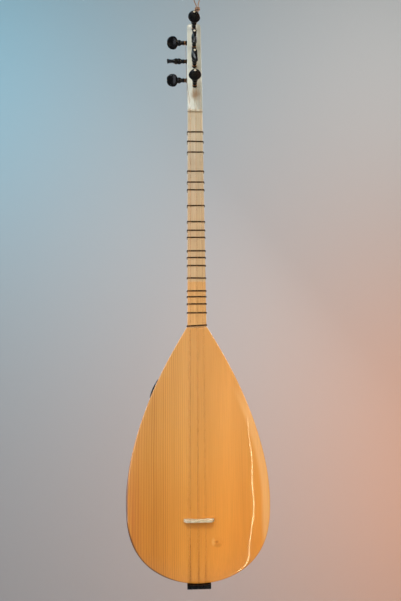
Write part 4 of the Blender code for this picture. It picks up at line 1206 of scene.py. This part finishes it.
for number, stave in enumerate(staves):
    turn = math.pi / STAVE_COUNT
    if number * turn < ring_angle + ring_spread and (number + 1) * turn > ring_angle - ring_spread:
        reach = ring_normal * 0.012
        cut(stave, drill(ring_centre - reach, ring_centre + reach, SOUND_HOLE_RADIUS, neck_frame, 64))
        smooth(stave, 50)
ring_place = neck_frame @ Matrix.Translation(ring_centre)
ring_place = ring_place @ ring_normal.to_track_quat("Z", "Y").to_matrix().to_4x4()
foot_depth, top = -0.006, RING_HEIGHT
flange = [(RING_BORE, foot_depth), (RING_BORE, 0.55 * top), (RING_BORE + 0.0003, 0.85 * top)]
flange += [(RING_BORE + 0.0010, top), (RING_BORE + 0.0024, 0.94 * top), (RING_BORE + 0.0034, 0.78 * top)]
flange += [(RING_BORE + 0.0040, 0.80 * top), (RING_BORE + 0.0046, 0.96 * top)]
flange += [(RING_RADIUS - 0.0030, top), (RING_RADIUS - 0.0016, 0.86 * top)]
flange += [(RING_RADIUS - 0.0006, 0.55 * top), (RING_RADIUS, 0.10 * top), (RING_RADIUS, foot_depth)]
hole_ring = spun("hole_ring", flange, black, ring_place)
cut(hole_ring, bowl_core())
liner = [(RING_BORE + 0.0005, foot_depth), (RING_BORE + 0.0005, 0.4 * top)]
liner += [(SOUND_HOLE_RADIUS - CLEARANCE, 0.4 * top), (SOUND_HOLE_RADIUS - CLEARANCE, foot_depth)]
cut(hole_ring, spun("liner", liner, black, ring_place), "UNION")
smooth(hole_ring, 35)
stand_for(hole_ring, "sound_hole_ring", "lute")
print("ring faces:", len(hole_ring.data.polygons))

# %% [markdown]
# A peg is turned: a tapered shaft in the head, a bead, a groove that holds the string, a second
# bead and a handle. The handle is then flattened and carved, so its sections are ovals. The table
# gives a few of them, and a smooth curve is drawn through it. One function makes all seven pegs,
# because only the length of the shaft and the turn of the handle differ. The front pegs' tips
# are inlaid with a small white dot, and the side pegs have the same.

# %% Pegs
PEG_TAIL_RADIUS, PEG_GROOVE_RADIUS, PEG_RING_RADIUS = 0.0029, 0.0035, 0.0044
PEG_RING_LENGTH, PEG_GROOVE_LENGTH = 0.0021, 0.0045
PEG_HANDLE_LENGTH, PEG_HANDLE_WIDTH = 0.031, 0.0236
PEG_POINTS, BEAD_STEPS, HANDLE_STEPS = 40, 8, 4
DOT_RADIUS, DOT_HEIGHT = 0.0022, 0.0005
HANDLE = (
    (0.00, 0.145, 0.145), (0.06, 0.145, 0.145), (0.14, 0.20, 0.20), (0.22, 0.235, 0.235),
    (0.27, 0.225, 0.225), (0.31, 0.205, 0.20), (0.365, 0.32, 0.22), (0.43, 0.42, 0.235),
    (0.50, 0.48, 0.195), (0.60, 0.505, 0.15), (0.71, 0.492, 0.138), (0.81, 0.45, 0.145),
    (0.90, 0.37, 0.165), (0.955, 0.295, 0.18), (1.00, 0.20, 0.15),
)


def drawn_through(rows, steps):
    """Rows on a smooth curve through every row of a table whose first column grows."""
    slopes = []
    for i in range(len(rows)):
        before, after = rows[max(i - 1, 0)], rows[min(i + 1, len(rows) - 1)]
        slopes.append([(b - a) / (after[0] - before[0]) for a, b in zip(before, after)])
    made = []
    for i in range(len(rows) - 1):
        gap = rows[i + 1][0] - rows[i][0]
        for k in range(steps):
            t = k / steps
            weights = (2 * t**3 - 3 * t**2 + 1, t**3 - 2 * t**2 + t, 3 * t**2 - 2 * t**3, t**3 - t**2)
            row = []
            for a, m, b, n in zip(rows[i], slopes[i], rows[i + 1], slopes[i + 1]):
                row.append(a * weights[0] + m * gap * weights[1] + b * weights[2] + n * gap * weights[3])
            made.append(row)
    return [*made, list(rows[-1])]


def bead(start, base):
    """Round sections of a turned bead that stands on a round base."""
    rows = []
    for k in range(BEAD_STEPS + 1):
        t = k / BEAD_STEPS
        swell = (1 - abs(2 * t - 1) ** 2.6) ** 0.5
        radius = part_way(base, PEG_RING_RADIUS, swell)
        rows.append((start + PEG_RING_LENGTH * (0.02 + 0.96 * t), radius, radius))
    return rows


def peg_rows(name):
    """The peg's sections as (height, half width, half thickness), from its tail to its tip."""
    groove = CLEARANCE + PEG_RING_LENGTH
    collar = groove + PEG_GROOVE_LENGTH
    cove = collar + PEG_RING_LENGTH
    tail = 2 * CLEARANCE - peg_bore(name)
    rows = [(tail, PEG_TAIL_RADIUS - 0.0005, PEG_TAIL_RADIUS - 0.0005)]
    rows.append((tail + 0.0004, PEG_TAIL_RADIUS, PEG_TAIL_RADIUS))
    rows.append((0, PEG_SHAFT_RADIUS, PEG_SHAFT_RADIUS))
    rows += bead(CLEARANCE, PEG_SHAFT_RADIUS)
    rows.append((part_way(groove, collar, 0.5), PEG_GROOVE_RADIUS, PEG_GROOVE_RADIUS))
    rows += bead(collar, PEG_GROOVE_RADIUS)
    for share, across, thick in drawn_through(HANDLE, HANDLE_STEPS)[1:]:
        height = cove + PEG_HANDLE_LENGTH * share
        rows.append((height, PEG_HANDLE_WIDTH * across, PEG_HANDLE_WIDTH * thick))
    height, across, thick = rows.pop()
    rows.append((height - 0.0002, across, thick))
    rows.append((height, across - 0.0006, thick - 0.0006))
    return rows


def oval(height, across, thick, points=PEG_POINTS):
    ring = []
    for k in range(points):
        angle = 2 * math.pi * k / points
        ring.append(Vector((across * math.cos(angle), thick * math.sin(angle), height)))
    return ring


def peg_place(name):
    if name.startswith("front"):
        tilt = Matrix.Rotation(math.radians(90), 4, "X")
    else:
        tilt = Matrix.Rotation(math.radians(-90), 4, "Y")
    turn = Matrix.Rotation(math.radians(PEG_TURNS[name]), 4, "Z")
    return head_frame @ Matrix.Translation(peg_seat(name)) @ tilt @ turn


for name in PEG_TURNS:
    rows = peg_rows(name)
    peg = pull_through(f"{name}_turned", [oval(*row) for row in rows], black, peg_place(name))
    smooth(peg, 50)
    stand_for(peg, name, name)
    tip = rows[-1][0]
    dot_rings = [oval(tip - 0.0008, DOT_RADIUS, DOT_RADIUS, 28)]
    for degrees in (0, 18, 36, 54, 72, 85):
        turn = math.radians(degrees)
        radius = DOT_RADIUS * math.cos(turn)
        dot_rings.append(oval(tip + DOT_HEIGHT * math.sin(turn), radius, radius, 28))
    dot = pull_through(f"{name}_dot", dot_rings, bone, peg_place(name))
    smooth(dot, 50)
    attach(dot, name)
print("peg faces:", len(peg.data.polygons), "dot faces:", len(dot.data.polygons))

# %% [markdown]
# The nut and the bridge are filed from a thin blade, with a notch under each string. Both start as
# the blade's outline, which is pulled through its thickness. The bridge is thinner at its crest,
# and only its two feet touch the soundboard. A small bevel takes the sharpness off every edge.

# %% The nut and the bridge
NUT_HEIGHT = 0.0024
BRIDGE_HEIGHT, BRIDGE_OFFSET, BRIDGE_WIDTHS = 0.0090, 0.0005, (0.051, 0.0458)
BRIDGE_THICKNESSES = (0.0050, 0.0030)
BRIDGE_ARCH_WIDTH, BRIDGE_ARCH_RISE = 0.024, 0.0015
COURSES = (
    (3, -0.0102, -0.0165, -0.0155),
    (2, 0.0015, -0.0010, -0.0008),
    (2, 0.0105, 0.0115, 0.0108),
)
STRINGS = (
    ("side_peg_1", 0.0002, 0), ("side_peg_2", 0.0002, 0), ("side_peg_3", 0.0005, 0),
    ("front_peg_1", 0.0003, -1), ("front_peg_2", 0.0003, 1),
    ("front_peg_3", 0.0002, 1), ("front_peg_4", 0.0002, 1),
)
SPACINGS = {1: 0.0017, 2: 0.0020, 3: 0.0016}


def string_places(which):
    """Every string's x at the nut (1), the bridge (2) or the holder (3), from the left."""
    places = []
    for course in COURSES:
        count = course[0]
        places += [course[which] + SPACINGS[which] * (k - (count - 1) / 2) for k in range(count)]
    return places


def notched(places, top):
    """Points along a top edge with a round notch under each string, from the left."""
    points = []
    for x, (_, diameter, _) in zip(places, STRINGS):
        half = diameter / 2 + 1.5 * CLEARANCE
        depth = diameter / 2 + CLEARANCE
        for across, share in ((-1, 0), (-0.7, 0.6), (-0.35, 0.93), (0.35, 0.93), (0.7, 0.6), (1, 0)):
            points.append((x + across * half, top + share * depth))
    return points


half, top = NECK_WIDTHS[0] / 2, -NUT_HEIGHT
blade = [(-half, -CLEARANCE), (-half, 0.6 * top), (-half + 0.0003, 0.92 * top), (-half + 0.0008, top)]
blade += notched(string_places(1), top)
blade += [(-x, y) for x, y in blade[3::-1]]
nut = pull_through(
    "nut_blade", [[Vector((x, y, z)) for x, y in blade] for z in (0, NUT_THICKNESS)], bone, neck_frame
)
bevelled(nut, 0.00008, 2, 40)
apply_all(nut)
smooth(nut, 40)
stand_for(nut, "nut", "lute")

low, crest = -CLEARANCE, -BRIDGE_HEIGHT
base, upper, arch = BRIDGE_WIDTHS[0] / 2, BRIDGE_WIDTHS[1] / 2, BRIDGE_ARCH_WIDTH / 2
blade = [(-base + 0.0003, low), (-base, low - 0.0004), (-base + 0.0002, low - 0.0012)]
blade += [(-base + 0.0008, low - 0.0020), (-upper - 0.0001, crest + 0.0036), (-upper + 0.0003, crest + 0.0020)]
blade += [(-upper + 0.0012, crest + 0.0007), (-upper + 0.0028, crest)]
right = [(-x, y) for x, y in blade[::-1]]
blade += notched([x - BRIDGE_OFFSET for x in string_places(2)], crest)
blade += right
for k in range(13):
    across = math.cos(math.pi * k / 12)
    blade.append((arch * across, low - BRIDGE_ARCH_RISE * (1 - across**4)))
rings = []
for side in (-1, -0.5, 0, 0.5, 1):
    ring = []
    for x, y in blade:
        thickness = part_way(*BRIDGE_THICKNESSES, (low - y) / (low - crest))
        ring.append(Vector((x, y, side * thickness / 2)))
    rings.append(ring)
seat = neck_frame @ Matrix.Translation((BRIDGE_OFFSET, 0, -SCALE_LENGTH))
bridge = pull_through("bridge_blade", rings, bone, seat)
bevelled(bridge, 0.00015, 2, 50)
apply_all(bridge)
smooth(bridge, 40)
stand_for(bridge, "bridge", "bridge")
print("nut faces:", len(nut.data.polygons), "bridge faces:", len(bridge.data.polygons))

# %% [markdown]
# The string holder is a small black block glued to the tail. It starts as a cube of its size, gets
# a bevel, and is cut by the body's curve so that it fits against it. A bore takes each string's end.

# %% The string holder
HOLDER_WIDTH, HOLDER_DROP, HOLDER_FRONT, HOLDER_DEPTH = 0.0393, 0.0062, -0.0005, 0.025
HOLDER_EDGE, HOLDER_BORE_DEPTH, HOLDER_BORE_SETBACK = 0.0008, 0.004, 0.0035
holder_top = -NECK_LENGTH - BODY_LENGTH - CLEARANCE
holder_low = holder_top + CLEARANCE - HOLDER_DROP
bore_y = HOLDER_FRONT + HOLDER_BORE_SETBACK


def tail_core():
    """The tail end of the body as a solid, grown by the clearance."""
    rings = []
    for k in range(25):
        d = tail_station(part_way(math.radians(50), BOARD_END_ANGLE, k / 24))
        arc = [bowl_inset(d, math.pi * j / 96, -CLEARANCE) for j in range(97)]
        rings.append([Vector((arc[0].x, -0.03, arc[0].z)), *arc, Vector((arc[-1].x, -0.03, arc[-1].z))])
    return pull_through("tail_core", rings, black, neck_frame)


size = Vector((HOLDER_WIDTH, HOLDER_DEPTH, holder_top + 0.004 - holder_low))
centre = neck_frame @ Vector((0, HOLDER_FRONT + size.y / 2, holder_low + size.z / 2))
bpy.ops.object.select_all(action="DESELECT")
bpy.ops.mesh.primitive_cube_add(size=1, location=centre, scale=size)
holder = bpy.context.object
holder.name = holder.data.name = "holder_block"
bpy.ops.object.transform_apply(location=True, rotation=True, scale=True)
bevelled(holder, HOLDER_EDGE, 4)
apply_all(holder)
cut(holder, tail_core())
for x in string_places(3):
    start = Vector((x, bore_y, holder_top - HOLDER_BORE_DEPTH))
    cut(holder, drill(start, start + Vector((0, 0, 0.012)), 0.00055, neck_frame, 16))
holder.data.materials.clear()
holder.data.materials.append(black)
smooth(holder, 40)
stand_for(holder, "string_holder", "lute")
print("holder faces:", len(holder.data.polygons))

# %% [markdown]
# A string runs from its bore over the bridge and the nut to its peg, where three turns hold it.
# Each is one wire, pulled along its route from end to end. The turns lie close on the groove.

# %% Strings
WINDING_LOOPS, WINDING_POINTS, WINDING_PITCH = 3, 28, 0.0010
WIRE_SIDES = 8


def wire_rings(points, diameter, sides=WIRE_SIDES):
    rings = []
    for point, (side, other) in zip(points, carried_frames(points)):
        turns = [2 * math.pi * k / sides for k in range(sides)]
        rings.append([point + diameter / 2 * (side * math.cos(a) + other * math.sin(a)) for a in turns])
    return rings


def string_route(number):
    """One string from its bore to the end of its turns, in the neck's frame."""
    name, diameter, side = STRINGS[number]
    nut_x, bridge_x, holder_x = (string_places(which)[number] for which in (1, 2, 3))
    behind = SCALE_LENGTH + BRIDGE_THICKNESSES[1] / 2 + 0.0015
    points = [
        Vector((holder_x, bore_y, holder_top - HOLDER_BORE_DEPTH + CLEARANCE)),
        Vector((holder_x, bore_y, holder_top + 0.0006)),
        Vector((bridge_x, -BRIDGE_HEIGHT, -behind)),
        Vector((nut_x, -NUT_HEIGHT, NUT_THICKNESS)),
    ]
    outward, seat = peg_outward(name), peg_seat(name)
    groove = CLEARANCE + PEG_RING_LENGTH
    spare = PEG_GROOVE_LENGTH - WINDING_LOOPS * WINDING_PITCH
    centre = seat + outward * (groove + spare / 2)
    if name == "front_peg_2":
        past = Vector((PEG_RING_RADIUS + 0.0006, -groove - spare, peg_seat("front_peg_1").z))
        points.append(head_in_neck @ past)
    if name.startswith("side"):
        height = 0.35 * seat.z
        points.append(head_in_neck @ Vector((-head_half_width(height) - 0.0006, -0.0006, height)))
    tangent = Vector((side, 0, 0)) if name.startswith("front") else Vector((0, -1, 0))
    radius = PEG_GROOVE_RADIUS + diameter / 2 + 0.0001
    for k in range(WINDING_LOOPS * WINDING_POINTS + 1):
        angle = 2 * math.pi * k / WINDING_POINTS
        spoke = tangent * math.cos(angle) + Vector((0, 0, math.sin(angle)))
        along = outward * WINDING_PITCH * k / WINDING_POINTS
        points.append(head_in_neck @ (centre + spoke * radius + along))
    return points


for number, (name, diameter, side) in enumerate(STRINGS):
    rings = wire_rings(string_route(number), diameter)
    string = pull_through(f"string_wire_{number + 1}", rings, steel, neck_frame)
    smooth(string, 60)
    stand_for(string, f"string_{number + 1}", "lute")
print("strings:", len(STRINGS), "faces each:", len(string.data.polygons))

# %% [markdown]
# A fret is a thread tied round the neck in two turns, with a small knot at the back's left. The
# first one is pulled along its route. The others are copies whose points are moved outwards as
# the neck grows wider and deeper, which is what tying the same knot lower down does.

# %% Frets
FRET_SEMITONES = (
    0.98, 1.46, 2.01, 3.03, 3.64, 4.08, 5.01, 6.00, 6.55, 7.02,
    7.93, 8.40, 8.98, 9.91, 10.92, 11.40, 12.00, 12.77, 13.94,
)
FRET_SLOPES = {2: -0.025, 7: 0.012, 14: -0.010, 19: 0.045}
THREAD_DIAMETER, THREAD_PITCH, FRET_TURNS = 0.00105, 0.00122, 2


def fret_height(number):
    return -SCALE_LENGTH * (1 - 2 ** (-FRET_SEMITONES[number - 1] / 12))


def first_fret():
    """Two turns of thread and the knot on them, round the neck at the first fret's place."""
    outline = neck_ring(0, CLEARANCE / 3 + THREAD_DIAMETER / 2)
    width, depth = neck_size(fret_height(1))
    grow = CLEARANCE / 3 + THREAD_DIAMETER / 2
    outline = stick_outline(width, depth, NECK_FLANK, ROUND_BACK, grow)
    count, first = len(outline), CORNER_STEPS + BACK_STEPS - 5
    points = []
    for k in range(FRET_TURNS * count + 1):
        x, y = outline[(first + k) % count]
        points.append(Vector((x, y, THREAD_PITCH * (k / count - FRET_TURNS / 2))))
    thread_piece = pull_through("fret_thread", wire_rings(points, THREAD_DIAMETER, 10), thread)
    x, y = outline[first]
    out = Vector((x, y - NECK_FLANK, 0)).normalized()
    along = Vector((0, 0, 1)).cross(out)
    knot_at = Vector((x, y, 0)) + out * 0.0004
    lumps = []
    for share, size in ((-1.5, 0.25), (-1.2, 0.75), (-0.7, 1.0), (-0.2, 0.82), (0.2, 0.82), (0.7, 1.0),
                        (1.2, 0.75), (1.5, 0.25)):
        ring = []
        for k in range(12):
            angle = 2 * math.pi * k / 12
            ring.append(knot_at + along * 0.0011 * share + size * (
                out * 0.0009 * math.cos(angle) + Vector((0, 0, 0.0014 * math.sin(angle)))
            ))
        lumps.append(ring)
    knot_piece = pull_through("fret_knot", lumps, thread)
    only(thread_piece)
    knot_piece.select_set(True)
    bpy.ops.object.join()
    return bpy.context.object


def widened(point, number):
    """Where a point of the first fret goes on the neck at another fret."""
    (width, depth), (new_width, new_depth) = neck_size(fret_height(1)), neck_size(fret_height(number))
    half, new_half = width / 2, new_width / 2
    side = math.copysign(1, point.x)
    inner, new_inner = half - NECK_EDGE, new_half - NECK_EDGE
    if point.y > NECK_FLANK:
        x = point.x * new_half / half
        y = NECK_FLANK + (point.y - NECK_FLANK) * (new_depth - NECK_FLANK) / (depth - NECK_FLANK)
    else:
        x = point.x * new_inner / inner if abs(point.x) < inner else point.x + side * (new_half - half)
        y = point.y
    return Vector((x, y, point.z + FRET_SLOPES.get(number, 0.0) * x + fret_height(number)))


pattern = first_fret()
shape_points = [vertex.co.copy() for vertex in pattern.data.vertices]
for number in range(1, len(FRET_SEMITONES) + 1):
    fret = pattern.copy()
    fret.data = pattern.data.copy()
    fret.name = fret.data.name = f"tied_fret_{number:02d}"
    bpy.context.scene.collection.objects.link(fret)
    for vertex, point in zip(fret.data.vertices, shape_points):
        vertex.co = neck_frame @ widened(point, number)
    smooth(fret, 60)
    stand_for(fret, f"fret_{number:02d}", f"fret_{number:02d}")
bpy.data.objects.remove(pattern, do_unlink=True)
print("frets:", len(FRET_SEMITONES), "faces each:", len(fret.data.polygons))

# %% [markdown]
# The instrument hangs in front of a plain pale wall, far enough behind it for every view from the
# back. In the photograph the wall is bluish at the upper left and warm at the lower right, so three
# soft lights of those colours stand beside the instrument and shine on the wall alone.

# %% Wall and floor
STAGE_SIZE = 30.0
WALL_DISTANCE = 3.0
FLOOR_LEVEL = -3.0


def stage_plane(name, location, turn, colour):
    bpy.ops.object.select_all(action="DESELECT")
    bpy.ops.mesh.primitive_plane_add(size=STAGE_SIZE, location=location, rotation=turn)
    plane = bpy.context.object
    plane.name = name
    finish, tree, shader = start_material(name)
    shader.inputs["Base Color"].default_value = (*colour, 1.0)
    shader.inputs["Roughness"].default_value = 0.8
    plane.data.materials.append(finish)


stage_plane("floor", (0, 0, FLOOR_LEVEL), (0, 0, 0), (0.50, 0.50, 0.50))
stage_plane("wall", (0, WALL_DISTANCE, 0), (math.radians(90), 0, 0), (0.50, 0.50, 0.50))

# %% [markdown]
# A very large soft light from the left shapes the front, and a smaller warm one draws a line along
# the right rim. A light with a narrow beam shines down on the body and puts a shade under the
# bridge, and a small one does the same for the pegs and the nut. A narrow bent strip on the right
# is seen in the lacquer where the board starts to roll over, as the bright line along the right
# edge. It is a chain of thin lights. Two lights behind serve the views of the bowl.

# %% Lights


def area_light(name, place, target, size, power, colour, up=(0, 0, 1)):
    data = bpy.data.lights.new(name, "AREA")
    data.shape = "RECTANGLE"
    data.size, data.size_y = size
    data.energy = power
    data.color = colour
    lamp = bpy.data.objects.new(name, data)
    bpy.context.scene.collection.objects.link(lamp)
    lamp.visible_camera = False
    place, target = Vector(place), Vector(target)
    lamp.matrix_world = Matrix.Translation(place) @ aim(target - place, Vector(up))
    return lamp


MIDDLE = (0, 0, -0.65)
area_light("front_left", (-1.8, -1.7, -0.1), MIDDLE, (1.7, 4.2), 75, (0.87, 0.90, 1.0))
area_light("front_right", (1.9, -1.6, 0.1), MIDDLE, (0.4, 1.4), 25, (1.0, 0.80, 0.50))
area_light("above", (-0.1, -0.7, 1.6), (0, 0, -0.3), (0.15, 0.15), 3, (1.0, 0.97, 0.92))
beam = area_light("beam", (-0.25, -1.7, 1.3), (0, 0, -1.0), (0.35, 0.35), 0.88, (0.80, 0.93, 1.0))
beam.data.spread = math.radians(24)

STRIP_DEPTH, STRIP_WIDTH, STRIP_POWER = -1.2, 0.010, 0.68
STRIP_BENDS = (
    (0.475, -0.95, 0.4), (0.425, -1.08, 0.8), (0.406, -1.25, 1.1), (0.398, -1.45, 1.1), (0.411, -1.60, 0.8),
    (0.494, -1.83, 0.7), (0.516, -2.06, 2.5), (0.498, -2.28, 5.0), (0.430, -2.42, 6.0),
)
for k, (start, end) in enumerate(zip(STRIP_BENDS, STRIP_BENDS[1:])):
    top, low = (Vector((x, STRIP_DEPTH, z)) for x, z, _ in (start, end))
    size = (STRIP_WIDTH, (top - low).length)
    power = STRIP_POWER * size[1] * (start[2] + end[2]) / 2
    area_light(f"strip_{k}", (top + low) / 2, (0.1, 0, -1.1), size, power, (1.0, 0.91, 0.58), top - low)

area_light("back_right", (1.7, 1.1, 0.7), MIDDLE, (0.5, 1.6), 40, (1.0, 0.98, 0.94))
area_light("back_left", (-1.6, 1.6, -0.2), MIDDLE, (0.8, 1.6), 16, (0.95, 0.98, 1.0))
area_light("wall_cool", (-2.6, 0.4, 1.9), (-1.8, WALL_DISTANCE, 1.6), (2, 2), 68, (0.13, 0.68, 0.96))
area_light("wall_plain", (2.4, 0.4, 2.2), (1.4, WALL_DISTANCE, 1.8), (2, 2), 47, (0.95, 0.98, 0.94))
area_light("wall_warm", (2.6, 0.6, -1.6), (1.7, WALL_DISTANCE, -1.5), (2, 2.5), 57, (1.0, 0.27, 0.0))

world = bpy.data.worlds.new("studio")
world.use_nodes = True
world.node_tree.nodes["Background"].inputs["Color"].default_value = (0.80, 0.84, 0.88, 1.0)
world.node_tree.nodes["Background"].inputs["Strength"].default_value = 0.16
bpy.context.scene.world = world
